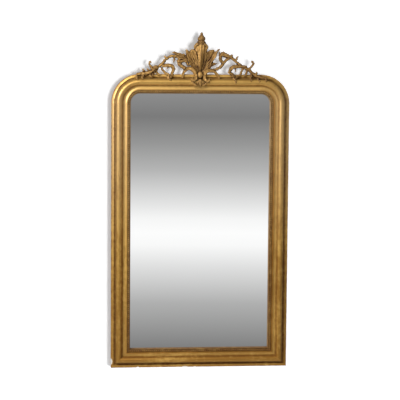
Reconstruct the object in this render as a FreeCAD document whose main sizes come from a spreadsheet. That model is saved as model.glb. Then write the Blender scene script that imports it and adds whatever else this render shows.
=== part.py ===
"""Tall gilt wall mirror with rounded upper corners, a pearl sight edge and a carved rocaille crest.

Frame: +X to the viewer's right, +Y towards the wall, +Z up, millimetres. The origin is on the wall plane,
on the centre line, at the frame's bottom edge. In the moulding's cross-section "across" runs from the outer
edge to the sight edge, and "forward" runs from the wall plane into the room.
"""

import FreeCAD
import Part
import Sketcher
import math
import os

Vector = FreeCAD.Vector

SIZES = [
    # the gilt frame
    ("frame_width", 870.0, "outer width of the frame"),
    ("frame_height", 1440.0, "outer height of the frame, without the crest"),
    ("sight_radius", 45.0, "radius of the sight opening's upper corners"),
    # the moulding, across
    ("bead_width", 14.0, "outer bead"),
    ("groove_width", 9.0, "hollow between the bead and the great roll"),
    ("roll_width", 30.0, "great roll"),
    ("quirk_width", 4.0, "step between the great roll and the cove"),
    ("cove_width", 22.0, "hollow between the great roll and the pearls"),
    ("pearl_bed_width", 12.0, "flat bed under the pearls"),
    ("lip_width", 4.0, "sight lip"),
    # the moulding, forward
    ("side_height", 11.0, "outer side of the moulding, above the carcass"),
    ("bead_rise", 5.0, "crown of the outer bead"),
    ("groove_depth", 4.0, "depth of the hollow below its chord"),
    ("roll_foot", 4.0, "start of the great roll, above the outer side"),
    ("roll_rise", 14.0, "crown of the great roll above its chord"),
    ("quirk_drop", 8.0, "fall of the step"),
    ("cove_rise", 8.0, "rise of the cove towards the pearls"),
    ("cove_depth", 4.2, "depth of the cove below its chord"),
    ("bed_step", 5.0, "step from the cove down to the pearl bed"),
    ("bed_height", 21.0, "pearl bed above the carcass"),
    ("lip_rise", 2.0, "sight lip above the pearl bed"),
    ("lip_crown", 1.2, "crown of the sight lip"),
    # the pearls
    ("pearl_radius", 5.2, "half-round pearl"),
    ("pearl_pitch", 10.0, "pearl to pearl, about"),
    ("pearl_neck", 1.7, "half width of the string between two pearls"),
    # the softwood carcass, the glass and the back
    ("carcass_depth", 22.0, "thickness of the carcass"),
    ("carcass_inset", 3.0, "carcass side inside the moulding's outer edge"),
    ("glass_thickness", 4.0, "mirror plate"),
    ("glass_overlap", 8.0, "mirror plate behind the sight lip"),
    ("glass_clearance", 3.0, "gap round the mirror plate"),
    ("board_thickness", 8.0, "backboard"),
    ("board_seat", 12.0, "width of the rebate that the backboards lie in"),
    ("board_gap", 0.8, "gap round a backboard"),
    ("block_leg", 9.0, "leg of the three-cornered glue blocks behind the glass"),
    ("block_length", 60.0, "glue block"),
    ("shim_length", 40.0, "setting shim under the glass"),
    # the cut nails in the backboards
    ("nail_width", 2.2, "square shank of a nail"),
    ("nail_length", 20.0, "nail below its head"),
    ("nail_head_width", 4.6, "nail head"),
    ("nail_head_height", 0.8, "nail head"),
    # the hangers
    ("hanger_drop", 330.0, "hanger pivot below the top of the frame"),
    ("hanger_inboard", 38.0, "hanger centre line inside the frame's outer edge"),
    ("strap_width", 14.0, "hanger strap"),
    ("strap_length", 46.0, "hanger strap below the pivot"),
    ("strap_thickness", 1.5, "hanger strap"),
    ("ring_wire_radius", 1.75, "wire of the hanging ring"),
    ("ring_radius", 13.0, "centre line of the hanging ring's bow"),
    ("ring_leg", 5.0, "straight leg of the hanging ring"),
    ("ring_bend", 4.0, "bend from the ring's bar to its legs"),
    ("pivot_clearance", 0.08, "play between the ring's bar and its knuckle"),
    ("swing_clearance", 0.4, "hanging ring clear of its strap"),
    # the wood screws
    ("screw_radius", 1.6, "shank"),
    ("screw_head_radius", 3.1, "countersunk head"),
    ("screw_head_height", 2.2, "countersunk head of a screw in wood"),
    ("screw_length", 20.0, "screw behind the crest"),
    ("hanger_screw_length", 16.0, "screw in a hanger"),
    ("hole_clearance", 0.05, "hole round a nail or a screw"),
    # the crest and what holds it up
    ("crest_height", 204.0, "tip of the finial above the frame"),
    ("crest_back", 3.0, "back of the carving behind the top of the frame's outer side"),
    ("batten_width", 60.0, "softwood batten behind the crest"),
    ("batten_thickness", 12.0, "softwood batten"),
    ("batten_drop", 70.0, "batten below the top of the frame"),
    ("batten_rise", 110.0, "batten above the top of the frame"),
    ("crest_block_height", 60.0, "glue block between the batten and the carving"),
    ("stem_width", 6.4, "half width of the carved stems at their thickest"),
]
BOARD_COUNT = 6

doc = FreeCAD.newDocument("gilt_mirror")
sheet = doc.addObject("Spreadsheet::Sheet", "Sizes")
for row, (alias, size, meaning) in enumerate(SIZES, start=1):
    sheet.set(f"A{row}", meaning)
    sheet.set(f"B{row}", str(size))
    sheet.setAlias(f"B{row}", alias)
doc.recompute()

SUB_PARTS = []

# Sizes that follow from the driving ones, as expressions.

HALF_WIDTH = "(Sizes.frame_width / 2)"
HEIGHT = "Sizes.frame_height"
ROLL_EDGE = "(Sizes.bead_width + Sizes.groove_width)"
QUIRK_EDGE = f"({ROLL_EDGE} + Sizes.roll_width)"
COVE_EDGE = f"({QUIRK_EDGE} + Sizes.quirk_width)"
BED_EDGE = f"({COVE_EDGE} + Sizes.cove_width)"
LIP_EDGE = f"({BED_EDGE} + Sizes.pearl_bed_width)"
MOULDING = f"({LIP_EDGE} + Sizes.lip_width)"
PEARL_LINE = f"({BED_EDGE} + Sizes.pearl_bed_width / 2)"
OUTER_RADIUS = f"(Sizes.sight_radius + {MOULDING})"

DEPTH = "Sizes.carcass_depth"
HALF_DEPTH = "(Sizes.carcass_depth / 2)"
SIDE_TOP = "(Sizes.carcass_depth + Sizes.side_height)"
ROLL_START = f"({SIDE_TOP} + Sizes.roll_foot)"
BED = "(Sizes.carcass_depth + Sizes.bed_height)"
COVE_END = f"({BED} + Sizes.bed_step)"
COVE_START = f"({COVE_END} - Sizes.cove_rise)"
ROLL_END = f"({COVE_START} + Sizes.quirk_drop)"
LIP_TOP = f"({BED} + Sizes.lip_rise)"

GLASS_EDGE = f"({MOULDING} - Sizes.glass_overlap)"
GLASS_BACK = "(Sizes.carcass_depth - Sizes.glass_thickness)"
CARCASS_EDGE = f"({GLASS_EDGE} - Sizes.glass_clearance)"
SEAT_EDGE = f"({CARCASS_EDGE} - Sizes.board_seat)"
CARCASS_RADIUS = f"({OUTER_RADIUS} - Sizes.carcass_inset)"
# across, where the rounded carcass corner comes level with the inner edge of the other carcass piece
CARCASS_TURN = f"({OUTER_RADIUS} - sqrt({CARCASS_RADIUS} ^ 2 - ({OUTER_RADIUS} - {CARCASS_EDGE}) ^ 2))"
CREST_PLANE = f"({SIDE_TOP} - Sizes.crest_back)"
# the carving is drawn with its finial tip 204 mm above the frame
CREST_SCALE = "(Sizes.crest_height / 204)"


def value(text):
    """What an expression comes to."""
    return float(sheet.evalExpression(text))


def bind(thing, **properties):
    """Ties properties to expressions. A double underscore in a name stands for a dot."""
    for name, text in properties.items():
        thing.setExpression(name.replace("__", "."), text)
    return thing


def place(thing, x="0", y="0", z="0"):
    return bind(thing, Placement__Base__x=x, Placement__Base__y=y, Placement__Base__z=z)


def keep(thing, label):
    """Makes an object one of the sub-parts that are written out."""
    thing.Label = label
    SUB_PARTS.append(thing)
    return thing


def from_side(side, across):
    """The x of a distance from the frame's outer edge, on the left (-1) or the right (1)."""
    return f"({side} * ({HALF_WIDTH} - {across}))"


def box(name, x, y, z, length, width, height):
    thing = doc.addObject("Part::Box", name)
    bind(thing, Length=length, Width=width, Height=height)
    return place(thing, x, y, z)


def cylinder_along_y(name, x, y, z, radius, length):
    """A cylinder that starts at y and runs forward, into the wood."""
    thing = doc.addObject("Part::Cylinder", name)
    thing.Placement.Rotation = FreeCAD.Rotation(Vector(1, 0, 0), 90)
    bind(thing, Radius=radius, Height=length)
    return place(thing, x, y, z)


def compound(name, things):
    thing = doc.addObject("Part::Compound", name)
    thing.Links = things
    return thing


def cut(name, base, tools):
    thing = doc.addObject("Part::Cut", name)
    thing.Base = base
    thing.Tool = tools[0] if len(tools) == 1 else compound(name + "_tools", tools)
    return thing


def fuse(name, first, second):
    thing = doc.addObject("Part::Fuse", name)
    thing.Base = first
    thing.Tool = second
    return thing


def new_body(name):
    return doc.addObject("PartDesign::Body", name)


def outline(body, name, role, corners, rises=None, lift=None):
    """A closed, fully dimensioned sketch on one of the body's own planes.

    corners holds (x, y) expressions in order. rises gives, for the edge that starts at a corner, how far an arc
    rises over its chord: outwards, or inwards with a leading minus sign.
    """
    rises = rises or {}
    sketch = body.newObject("Sketcher::SketchObject", name)
    planes = {feature.Role: feature for feature in body.Origin.OriginFeatures}
    sketch.AttachmentSupport = [(planes[role], "")]
    sketch.MapMode = "FlatFace"
    if lift:
        bind(sketch, AttachmentOffset__Base__z=lift)
    points = [Vector(value(x), value(y), 0) for x, y in corners]
    ways = list(zip(points, points[1:] + points[:1]))
    area = sum(start.x * end.y - end.x * start.y for start, end in ways)
    edges = []
    for i, (start, end) in enumerate(ways):
        if i in rises:
            outwards = Vector(end.y - start.y, start.x - end.x, 0).normalize()
            rise = math.copysign(1, area) * value(rises[i])
            edge = sketch.addGeometry(Part.Arc(start, (start + end) * 0.5 + outwards * rise, end), False)
        else:
            edge = sketch.addGeometry(Part.LineSegment(start, end), False)
        forward = (sketch.getPoint(edge, 1) - start).Length < (sketch.getPoint(edge, 2) - start).Length
        edges.append((edge, 1 if forward else 2))
    for i, (edge, start) in enumerate(edges):
        before, before_start = edges[i - 1]
        sketch.addConstraint(Sketcher.Constraint("Coincident", before, 3 - before_start, edge, start))
        for kind, text in zip(("DistanceX", "DistanceY"), corners[i]):
            number = sketch.addConstraint(Sketcher.Constraint(kind, -1, 1, edge, start, value(text)))
            sketch.setExpression(f"Constraints[{number}]", text)
        if i in rises:
            (x0, y0), (x1, y1) = corners[i], corners[(i + 1) % len(corners)]
            rise = rises[i].lstrip("-")
            radius = f"((({x1}) - ({x0})) ^ 2 + (({y1}) - ({y0})) ^ 2) / (8 * {rise}) + {rise} / 2"
            number = sketch.addConstraint(Sketcher.Constraint("Radius", edge, value(radius)))
            sketch.setExpression(f"Constraints[{number}]", radius)
    return sketch


def quarter_rise(radius):
    """How far a quarter circle rises over its chord."""
    return f"({radius} * (1 - sqrt(0.5)))"


def arc_rise(radius, dx, dy):
    """How far an arc of a given radius rises over a chord."""
    return f"({radius} - sqrt({radius} ^ 2 - (({dx}) ^ 2 + ({dy}) ^ 2) / 4))"


def pad(body, name, sketch, length, both_ways=False):
    feature = body.newObject("PartDesign::Pad", name)
    feature.Profile = sketch
    feature.SideType = "Symmetric" if both_ways else "One side"
    return bind(feature, Length=length)


def cut_through(body, name, sketch):
    feature = body.newObject("PartDesign::Pocket", name)
    feature.Profile = sketch
    feature.SideType = "Symmetric"
    feature.Type = "ThroughAll"
    return feature


def cut_forward(body, name, corners, depth, lift=None):
    """A pocket in a back face that runs forward, from the wall plane or from a lifted plane."""
    feature = body.newObject("PartDesign::Pocket", name)
    feature.Profile = outline(body, name + "_outline", "XZ_Plane", corners, lift=lift)
    feature.Reversed = True
    return bind(feature, Length=depth)


def rectangle(x0, z0, x1, z1):
    return [(x0, z0), (x1, z0), (x1, z1), (x0, z1)]


# The moulding: one cross-section, (across, forward), for the stiles, the rails and the round corners.

SECTION = [
    ("0", DEPTH),
    ("0", SIDE_TOP),
    ("Sizes.bead_width", SIDE_TOP),
    (ROLL_EDGE, ROLL_START),
    (QUIRK_EDGE, ROLL_END),
    (COVE_EDGE, COVE_START),
    (BED_EDGE, COVE_END),
    (BED_EDGE, BED),
    (LIP_EDGE, BED),
    (LIP_EDGE, LIP_TOP),
    (MOULDING, LIP_TOP),
    (MOULDING, DEPTH),
]
SECTION_RISES = {
    1: "Sizes.bead_rise",
    2: "-Sizes.groove_depth",
    3: "Sizes.roll_rise",
    5: "-Sizes.cove_depth",
    9: "Sizes.lip_crown",
}


def moulding_stile(label, side):
    """A straight stile, mitred at the foot and square where it meets the round corner."""
    body = new_body(label)
    corners = [(from_side(side, across), f"-{forward}") for across, forward in SECTION]
    section = outline(body, "section", "XY_Plane", corners, SECTION_RISES)
    pad(body, "run", section, f"{HEIGHT} - {OUTER_RADIUS}")
    inner = from_side(side, MOULDING)
    waste = outline(body, "mitre", "XZ_Plane", [(from_side(side, "0"), "0"), (inner, "0"), (inner, MOULDING)])
    cut_through(body, "mitre_cut", waste)
    return keep(body, label)


def moulding_bottom_rail(label):
    body = new_body(label)
    corners = [(f"-{forward}", across) for across, forward in SECTION]
    pad(body, "run", outline(body, "section", "YZ_Plane", corners, SECTION_RISES), "Sizes.frame_width", True)
    for name, side in (("left", -1), ("right", 1)):
        outer, inner = from_side(side, "0"), from_side(side, MOULDING)
        waste = outline(body, name + "_mitre", "XZ_Plane", [(outer, "0"), (inner, MOULDING), (outer, MOULDING)])
        cut_through(body, name + "_mitre_cut", waste)
    return keep(body, label)


def moulding_top_rail(label):
    body = new_body(label)
    corners = [(f"-{forward}", f"{HEIGHT} - {across}") for across, forward in SECTION]
    section = outline(body, "section", "YZ_Plane", corners, SECTION_RISES)
    pad(body, "run", section, f"2 * ({HALF_WIDTH} - {OUTER_RADIUS})", True)
    return keep(body, label)


def moulding_corner(label, side):
    """The cross-section turned a quarter round the corner's centre."""
    body = new_body(label)
    corners = [(f"{side} * ({OUTER_RADIUS} - {across})", f"-{forward}") for across, forward in SECTION]
    turn = body.newObject("PartDesign::Revolution", "quarter_turn")
    turn.Profile = outline(body, "section", "XY_Plane", corners, SECTION_RISES)
    turn.ReferenceAxis = (turn.Profile[0], ["V_Axis"])
    turn.Angle = 90
    turn.Reversed = side > 0
    place(body, from_side(side, OUTER_RADIUS), "0", f"{HEIGHT} - {OUTER_RADIUS}")
    return keep(body, label)


# The carcass: softwood stiles and rails, half-lapped at the corners and rebated for the backboards.

def carcass_stile(name, side):
    body = new_body(name)
    outer, inner = from_side(side, "Sizes.carcass_inset"), from_side(side, CARCASS_EDGE)
    seat = from_side(side, SEAT_EDGE)
    shoulder = f"({HEIGHT} - {OUTER_RADIUS})"
    top = f"({HEIGHT} - {CARCASS_TURN})"
    rise = arc_rise(CARCASS_RADIUS, f"{CARCASS_EDGE} - Sizes.carcass_inset", f"{top} - {shoulder}")
    corners = [(outer, "0"), (outer, shoulder), (inner, top), (inner, "0")]
    pad(body, "board", outline(body, "plan", "XZ_Plane", corners, {1: rise}), DEPTH)
    edge = from_side(side, "0")
    cut_forward(body, "top_lap", rectangle(edge, f"{HEIGHT} - {CARCASS_EDGE}", inner, HEIGHT), HALF_DEPTH)
    cut_forward(body, "bottom_lap", rectangle(edge, "-1", inner, CARCASS_EDGE), HALF_DEPTH)
    rebate = rectangle(seat, f"{CARCASS_EDGE} - 1", inner, f"{HEIGHT} - {CARCASS_EDGE} + 1")
    cut_forward(body, "board_rebate", rebate, "Sizes.board_thickness")
    return body


def carcass_rail(name, corners, rises, inner, seat):
    """A rail from its outline, with its front half taken off for the stiles and a rebate on its inner edge."""
    body = new_body(name)
    pad(body, "board", outline(body, "plan", "XZ_Plane", corners, rises), DEPTH)
    for end, side in (("left_lap", -1), ("right_lap", 1)):
        waste = rectangle(from_side(side, "0"), "-1", from_side(side, CARCASS_EDGE), f"{HEIGHT} + 1")
        cut_forward(body, end, waste, DEPTH, HALF_DEPTH)
    rebate = rectangle(from_side(-1, SEAT_EDGE), inner, from_side(1, SEAT_EDGE), seat)
    cut_forward(body, "board_rebate", rebate, "Sizes.board_thickness")
    return body


def carcass_top_rail():
    inner = f"({HEIGHT} - {CARCASS_EDGE})"
    top = f"({HEIGHT} - Sizes.carcass_inset)"
    corners = [
        (from_side(-1, CARCASS_TURN), inner),
        (from_side(-1, OUTER_RADIUS), top),
        (from_side(1, OUTER_RADIUS), top),
        (from_side(1, CARCASS_TURN), inner),
    ]
    rise = arc_rise(CARCASS_RADIUS, f"{OUTER_RADIUS} - {CARCASS_TURN}", f"{CARCASS_EDGE} - Sizes.carcass_inset")
    body = carcass_rail("carcass_top", corners, {0: rise, 2: rise}, inner, f"{HEIGHT} - {SEAT_EDGE}")
    half = "(Sizes.batten_width / 2)"
    recess = rectangle(f"-{half}", f"{HEIGHT} - Sizes.batten_drop", half, HEIGHT)
    cut_forward(body, "batten_recess", recess, "Sizes.batten_thickness")
    return body


def carcass_bottom_rail():
    outer = "Sizes.carcass_inset"
    corners = rectangle(from_side(-1, outer), "0", from_side(1, outer), CARCASS_EDGE)
    return carcass_rail("carcass_bottom", corners, {}, SEAT_EDGE, CARCASS_EDGE)


# Carved and strung work: straight-sided sections lofted along a path.

ROUND_SECTION = [(-1, 0), (-0.5, 0.87), (0.5, 0.87), (1, 0), (0.5, -0.87), (-0.5, -0.87)]
LEAF_SECTION = [(-1, -0.1), (-0.45, 0.3), (0, 0.8), (0.45, 0.3), (1, -0.1), (0, -0.6)]
PEARL_SECTION = [(-1, 0), (-0.5, 0.87), (0.5, 0.87), (1, 0)]


def section_at(station, section):
    """The corners of a section that faces the room, at a station of (point, direction, half width)."""
    point, direction, half = station
    side = direction.cross(Vector(0, -1, 0)).normalize() * half
    return [point + side * across - Vector(0, half * forward, 0) for across, forward in section]


def loft_along(stations, section):
    """A solid through the sections at some stations."""
    wires = []
    for station in stations:
        corners = section_at(station, section)
        wires.append(Part.makePolygon(corners + corners[:1]))
    return Part.makeLoft(wires, True, True)


def flat_sided(stations, section):
    """The same solid with flat faces, for what repeats many times."""
    rings = [section_at(station, section) for station in stations]
    outlines = [rings[0], rings[-1]]
    for ring, after in zip(rings, rings[1:]):
        for i in range(len(section)):
            a, b, c, d = ring[i - 1], ring[i], after[i], after[i - 1]
            flat = abs((b - a).cross(d - a).dot(c - a)) < 1e-6
            outlines += [[a, b, c, d]] if flat else [[a, b, c], [a, c, d]]
    shell = Part.makeShell([Part.Face(Part.makePolygon(corners + corners[:1])) for corners in outlines])
    shell.sewShape()
    return Part.makeSolid(shell)


def pearl_string(label, path, count):
    """Half-round pearls on a flat back. path(t) gives a point and a direction for t from 0 to 1."""
    radius, neck = value("Sizes.pearl_radius"), value("Sizes.pearl_neck")
    shape = ((0.0, neck), (0.27, radius), (0.73, radius))
    stations = []
    for pearl in range(count):
        for part_way, half in shape:
            stations.append((*path((pearl + part_way) / count), half))
    stations.append((*path(1.0), neck))
    string = doc.addObject("Part::Feature", label)
    string.Shape = flat_sided(stations, PEARL_SECTION)
    return keep(string, label)


def straight_pearls(label, start, end):
    start = Vector(*(value(text) for text in start))
    end = Vector(*(value(text) for text in end))
    direction = (end - start).normalize()
    count = round((end - start).Length / value("Sizes.pearl_pitch"))
    return pearl_string(label, lambda t: (start + (end - start) * t, direction), count)


def corner_pearls(label, side):
    radius = value(f"{OUTER_RADIUS} - {PEARL_LINE}")
    centre = Vector(value(from_side(side, OUTER_RADIUS)), -value(BED), value(f"{HEIGHT} - {OUTER_RADIUS}"))

    def path(t):
        angle = t * math.pi / 2
        point = centre + Vector(side * math.cos(angle), 0, math.sin(angle)) * radius
        return point, Vector(-side * math.sin(angle), 0, math.cos(angle))

    count = round(radius * math.pi / 2 / value("Sizes.pearl_pitch"))
    return pearl_string(label, path, count)


def pearls():
    bed = f"-{BED}"
    turn = f"({HEIGHT} - {OUTER_RADIUS})"
    foot = f"({PEARL_LINE} - Sizes.pearl_pitch / 2)"
    for name, side in (("left", -1), ("right", 1)):
        x = from_side(side, PEARL_LINE)
        straight_pearls(f"pearls_{name}", (x, bed, foot), (x, bed, turn))
        corner_pearls(f"pearls_corner_{name}", side)
    inset = f"({PEARL_LINE} + Sizes.pearl_radius)"
    top = f"({HEIGHT} - {PEARL_LINE})"
    for name, end, level in (("bottom", inset, PEARL_LINE), ("top", OUTER_RADIUS, top)):
        straight_pearls(f"pearls_{name}", (from_side(-1, end), bed, level), (from_side(1, end), bed, level))


# The mirror plate, and what holds it against the sight lip.

def mirror_plate(label):
    body = new_body(label)
    radius = "(Sizes.sight_radius + Sizes.glass_overlap)"
    left, right = from_side(-1, GLASS_EDGE), from_side(1, GLASS_EDGE)
    shoulder, top = f"({HEIGHT} - {OUTER_RADIUS})", f"({HEIGHT} - {GLASS_EDGE})"
    corners = [
        (left, GLASS_EDGE),
        (right, GLASS_EDGE),
        (right, shoulder),
        (f"{right} - {radius}", top),
        (f"{left} + {radius}", top),
        (left, shoulder),
    ]
    rises = {2: quarter_rise(radius), 4: quarter_rise(radius)}
    plan = outline(body, "plan", "XZ_Plane", corners, rises, lift=GLASS_BACK)
    pad(body, "sheet", plan, "Sizes.glass_thickness")
    return keep(body, label)


def glue_blocks(label):
    """Three-cornered blocks in the angle between the back of the glass and the carcass."""
    leg, length = value("Sizes.block_leg"), value("Sizes.block_length")
    back, edge = -value(GLASS_BACK), value(CARCASS_EDGE)
    half, height = value(HALF_WIDTH), value(HEIGHT)
    blocks = []
    for side in (-1, 1):
        wall = side * (half - edge)
        corner = [Vector(wall, back, 0), Vector(wall, back + leg, 0), Vector(wall - side * leg, back, 0)]
        for share in (0.18, 0.39, 0.6, 0.81):
            foot = Vector(0, 0, height * share - length / 2)
            face = Part.Face(Part.makePolygon([point + foot for point in corner + corner[:1]]))
            blocks.append(face.extrude(Vector(0, 0, length)))
    for wall, inwards in ((edge, 1), (height - edge, -1)):
        corner = [Vector(0, back, wall), Vector(0, back + leg, wall), Vector(0, back, wall + inwards * leg)]
        for share in (-0.2, 0.2):
            foot = Vector(2 * half * share - length / 2, 0, 0)
            face = Part.Face(Part.makePolygon([point + foot for point in corner + corner[:1]]))
            blocks.append(face.extrude(Vector(length, 0, 0)))
    group = doc.addObject("Part::Feature", label)
    group.Shape = Part.makeCompound(blocks)
    return keep(group, label)


def setting_shims(label):
    shims = []
    for name, share in (("left", "-0.25"), ("right", "0.25")):
        x = f"{share} * Sizes.frame_width - Sizes.shim_length / 2"
        size = ("Sizes.shim_length", "Sizes.glass_thickness", "Sizes.glass_clearance")
        shims.append(box(f"shim_{name}", x, f"-{DEPTH}", CARCASS_EDGE, *size))
    return keep(compound("shims", shims), label)


# The backboards and their nails.

BOARD_RUN = f"({HEIGHT} - 2 * {SEAT_EDGE})"
BOARD_PITCH = f"({BOARD_RUN} / {BOARD_COUNT})"


def nail_places(number):
    """(x, z) of the nails of one board, two at each end."""
    foot = f"({SEAT_EDGE} + {number} * {BOARD_PITCH})"
    across = f"({SEAT_EDGE} + Sizes.board_seat / 2)"
    for side in (-1, 1):
        for share in (0.22, 0.78):
            yield side, from_side(side, across), f"({foot} + {share} * {BOARD_PITCH})"


def nail(name, x, z):
    """A cut nail with a square shank and a flat head on the board's back."""
    def square(part, width, y, length):
        return box(f"{name}_{part}", f"{x} - {width} / 2", y, f"{z} - {width} / 2", width, length, width)
    shank = square("shank", "Sizes.nail_width", "-Sizes.nail_length", "Sizes.nail_length")
    head = square("head", "Sizes.nail_head_width", "0", "Sizes.nail_head_height")
    return fuse(name, shank, head)


def nail_hole(name, x, z):
    width = "(Sizes.nail_width + 2 * Sizes.hole_clearance)"
    length = "(Sizes.nail_length + Sizes.hole_clearance)"
    return box(name, f"{x} - {width} / 2", f"-{length}", f"{z} - {width} / 2", width, length, width)


def backboards():
    """Horizontal boards, and the holes that their nails need in the stiles."""
    nails = []
    holes = {-1: [], 1: []}
    for number in range(BOARD_COUNT):
        gap = "Sizes.board_gap"
        left, run = f"{from_side(-1, SEAT_EDGE)} + {gap}", f"2 * ({HALF_WIDTH} - {SEAT_EDGE} - {gap})"
        foot = f"{SEAT_EDGE} + {number} * {BOARD_PITCH} + {gap} / 2"
        size = (run, "Sizes.board_thickness", f"{BOARD_PITCH} - {gap}")
        plank = box(f"plank_{number + 1}", left, "-Sizes.board_thickness", foot, *size)
        plank_holes = []
        for end, (side, x, z) in enumerate(nail_places(number)):
            nails.append(nail(f"nail_{number + 1}_{end + 1}", x, z))
            plank_holes.append(nail_hole(f"nail_hole_{number + 1}_{end + 1}", x, z))
            holes[side].append(plank_holes[-1])
        keep(cut(f"bored_plank_{number + 1}", plank, plank_holes), f"backboard_{number + 1}")
    keep(compound("nails", nails), "backboard_nails")
    return holes


# Screws, and the hangers on the carcass stiles.

def screw(name, x, y, z, length, head_height):
    """A countersunk screw whose flat head is at y, and which runs forward."""
    shank = cylinder_along_y(name + "_shank", x, y, z, "Sizes.screw_radius", length)
    head = doc.addObject("Part::Cone", name + "_head")
    head.Placement.Rotation = FreeCAD.Rotation(Vector(1, 0, 0), 90)
    bind(head, Radius1="Sizes.screw_head_radius", Radius2="Sizes.screw_radius", Height=head_height)
    place(head, x, y, z)
    return fuse(name, shank, head)


def screw_hole(name, x, y, z, length, head_height):
    """The hole that the screw needs, with its countersink."""
    gap = "Sizes.hole_clearance"
    bore = cylinder_along_y(name + "_bore", x, y, z, f"Sizes.screw_radius + {gap}", f"{length} + {gap}")
    sink = doc.addObject("Part::Cone", name + "_sink")
    sink.Placement.Rotation = FreeCAD.Rotation(Vector(1, 0, 0), 90)
    wide = (f"Sizes.screw_head_radius + {gap}", f"Sizes.screw_radius + {gap}")
    bind(sink, Radius1=wide[0], Radius2=wide[1], Height=head_height)
    place(sink, x, y, z)
    return fuse(name, bore, sink)


PIVOT = "(Sizes.strap_thickness + Sizes.ring_wire_radius + Sizes.swing_clearance)"
BORE_RADIUS = "(Sizes.ring_wire_radius + Sizes.pivot_clearance)"
PIVOT_HEIGHT = f"({HEIGHT} - Sizes.hanger_drop)"


def hanger_strap(name, side, holes):
    """A strap with a round foot, whose upper end is rolled into a knuckle for the ring."""
    centre = from_side(side, "Sizes.hanger_inboard")
    half = "(Sizes.strap_width / 2)"
    foot = "(0.3 * Sizes.strap_width - Sizes.strap_length)"
    body = new_body(f"strap_{name}")
    corners = [(f"-{half}", foot), (half, foot), (half, "0"), (f"-{half}", "0")]
    rises = {0: "(0.3 * Sizes.strap_width)"}
    plan = outline(body, "plan", "XZ_Plane", corners, rises, lift="-Sizes.strap_thickness")
    pad(body, "plate", plan, "Sizes.strap_thickness")
    place(body, centre, "0", PIVOT_HEIGHT)

    def along_x(part, radius):
        thing = doc.addObject("Part::Cylinder", f"{part}_{name}")
        thing.Placement.Rotation = FreeCAD.Rotation(Vector(0, 1, 0), 90)
        bind(thing, Radius=radius, Height="Sizes.strap_width")
        return place(thing, f"{centre} - {half}", PIVOT, PIVOT_HEIGHT)

    knuckle = along_x("knuckle", f"{BORE_RADIUS} + Sizes.strap_thickness")
    rolled = fuse(f"rolled_strap_{name}", body, knuckle)
    return keep(cut(f"hanger_{name}", rolled, [along_x("bore", BORE_RADIUS), *holes]), f"hanger_plate_{name}")


def hanger_ring(label, side):
    """A wire ring: a bar through the knuckle, two bends, two legs and a half-round bow."""
    radius, leg, bend = value("Sizes.ring_radius"), value("Sizes.ring_leg"), value("Sizes.ring_bend")
    reach = bend * (1 - math.sqrt(0.5))

    def at(x, z):
        return Vector(x, 0, z)

    bar = Part.LineSegment(at(bend - radius, 0), at(radius - bend, 0))
    right_bend = Part.Arc(at(radius - bend, 0), at(radius - reach, -reach), at(radius, -bend))
    right_leg = Part.LineSegment(at(radius, -bend), at(radius, -bend - leg))
    bow = Part.Arc(at(radius, -bend - leg), at(0, -bend - leg - radius), at(-radius, -bend - leg))
    left_leg = Part.LineSegment(at(-radius, -bend - leg), at(-radius, -bend))
    left_bend = Part.Arc(at(-radius, -bend), at(reach - radius, -reach), at(bend - radius, 0))
    path = Part.Wire([curve.toShape() for curve in (bar, right_bend, right_leg, bow, left_leg, left_bend)])
    circle = Part.Circle(at(bend - radius, 0), Vector(1, 0, 0), value("Sizes.ring_wire_radius"))
    wire = Part.Wire(circle.toShape())
    ring = doc.addObject("Part::Feature", label)
    ring.Shape = path.makePipeShell([wire], True, False)
    place(ring, from_side(side, "Sizes.hanger_inboard"), PIVOT, PIVOT_HEIGHT)
    return keep(ring, label)


def hangers():
    """Two hangers, their screws, and the holes that the screws need in the stiles."""
    screws = []
    holes = {}
    for name, side in (("left", -1), ("right", 1)):
        x = from_side(side, "Sizes.hanger_inboard")
        spots = []
        for number, share in enumerate((0.38, 0.76), start=1):
            z = f"({PIVOT_HEIGHT} - {share} * Sizes.strap_length)"
            size = ("Sizes.hanger_screw_length", "Sizes.strap_thickness")
            screws.append(screw(f"hanger_screw_{name}_{number}", x, "Sizes.strap_thickness", z, *size))
            spots.append(screw_hole(f"hanger_hole_{name}_{number}", x, "Sizes.strap_thickness", z, *size))
        hanger_strap(name, side, spots)
        hanger_ring(f"hanger_ring_{name}", side)
        holes[side] = spots
    keep(compound("screws_of_hangers", screws), "hanger_screws")
    return holes


# The batten and the block behind the crest.

def crest_support():
    half = "(Sizes.batten_width / 2)"
    places = [
        (1, -0.25, "-0.3 * Sizes.batten_drop"),
        (2, 0.25, "-0.7 * Sizes.batten_drop"),
        (3, -0.25, "0.3 * Sizes.crest_block_height"),
        (4, 0.25, "0.75 * Sizes.crest_block_height"),
    ]
    screws = []
    holes = []
    for number, share, rise in places:
        spot = (f"{share} * Sizes.batten_width", "0", f"{HEIGHT} + {rise}")
        size = ("Sizes.screw_length", "Sizes.screw_head_height")
        screws.append(screw(f"crest_screw_{number}", *spot, *size))
        holes.append(screw_hole(f"crest_hole_{number}", *spot, *size))
    rise = "(Sizes.batten_drop + Sizes.batten_rise)"
    strip = box("batten", f"-{half}", "-Sizes.batten_thickness", f"{HEIGHT} - Sizes.batten_drop",
                "Sizes.batten_width", "Sizes.batten_thickness", rise)
    keep(cut("bored_batten", strip, holes), "crest_batten")
    cube = box("block", f"-{half}", f"-{CREST_PLANE}", HEIGHT,
               "Sizes.batten_width", f"{CREST_PLANE} - Sizes.batten_thickness", "Sizes.crest_block_height")
    block = keep(cut("bored_block", cube, holes[2:]), "crest_block")
    keep(compound("screws_of_crest", screws), "crest_screws")
    return block, holes[:2]


# The crest. Its points are (right, forward, up) from the middle of the frame's top edge, as drawn, and are
# scaled to the height asked for. Left and right differ, as rocaille does.

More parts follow.
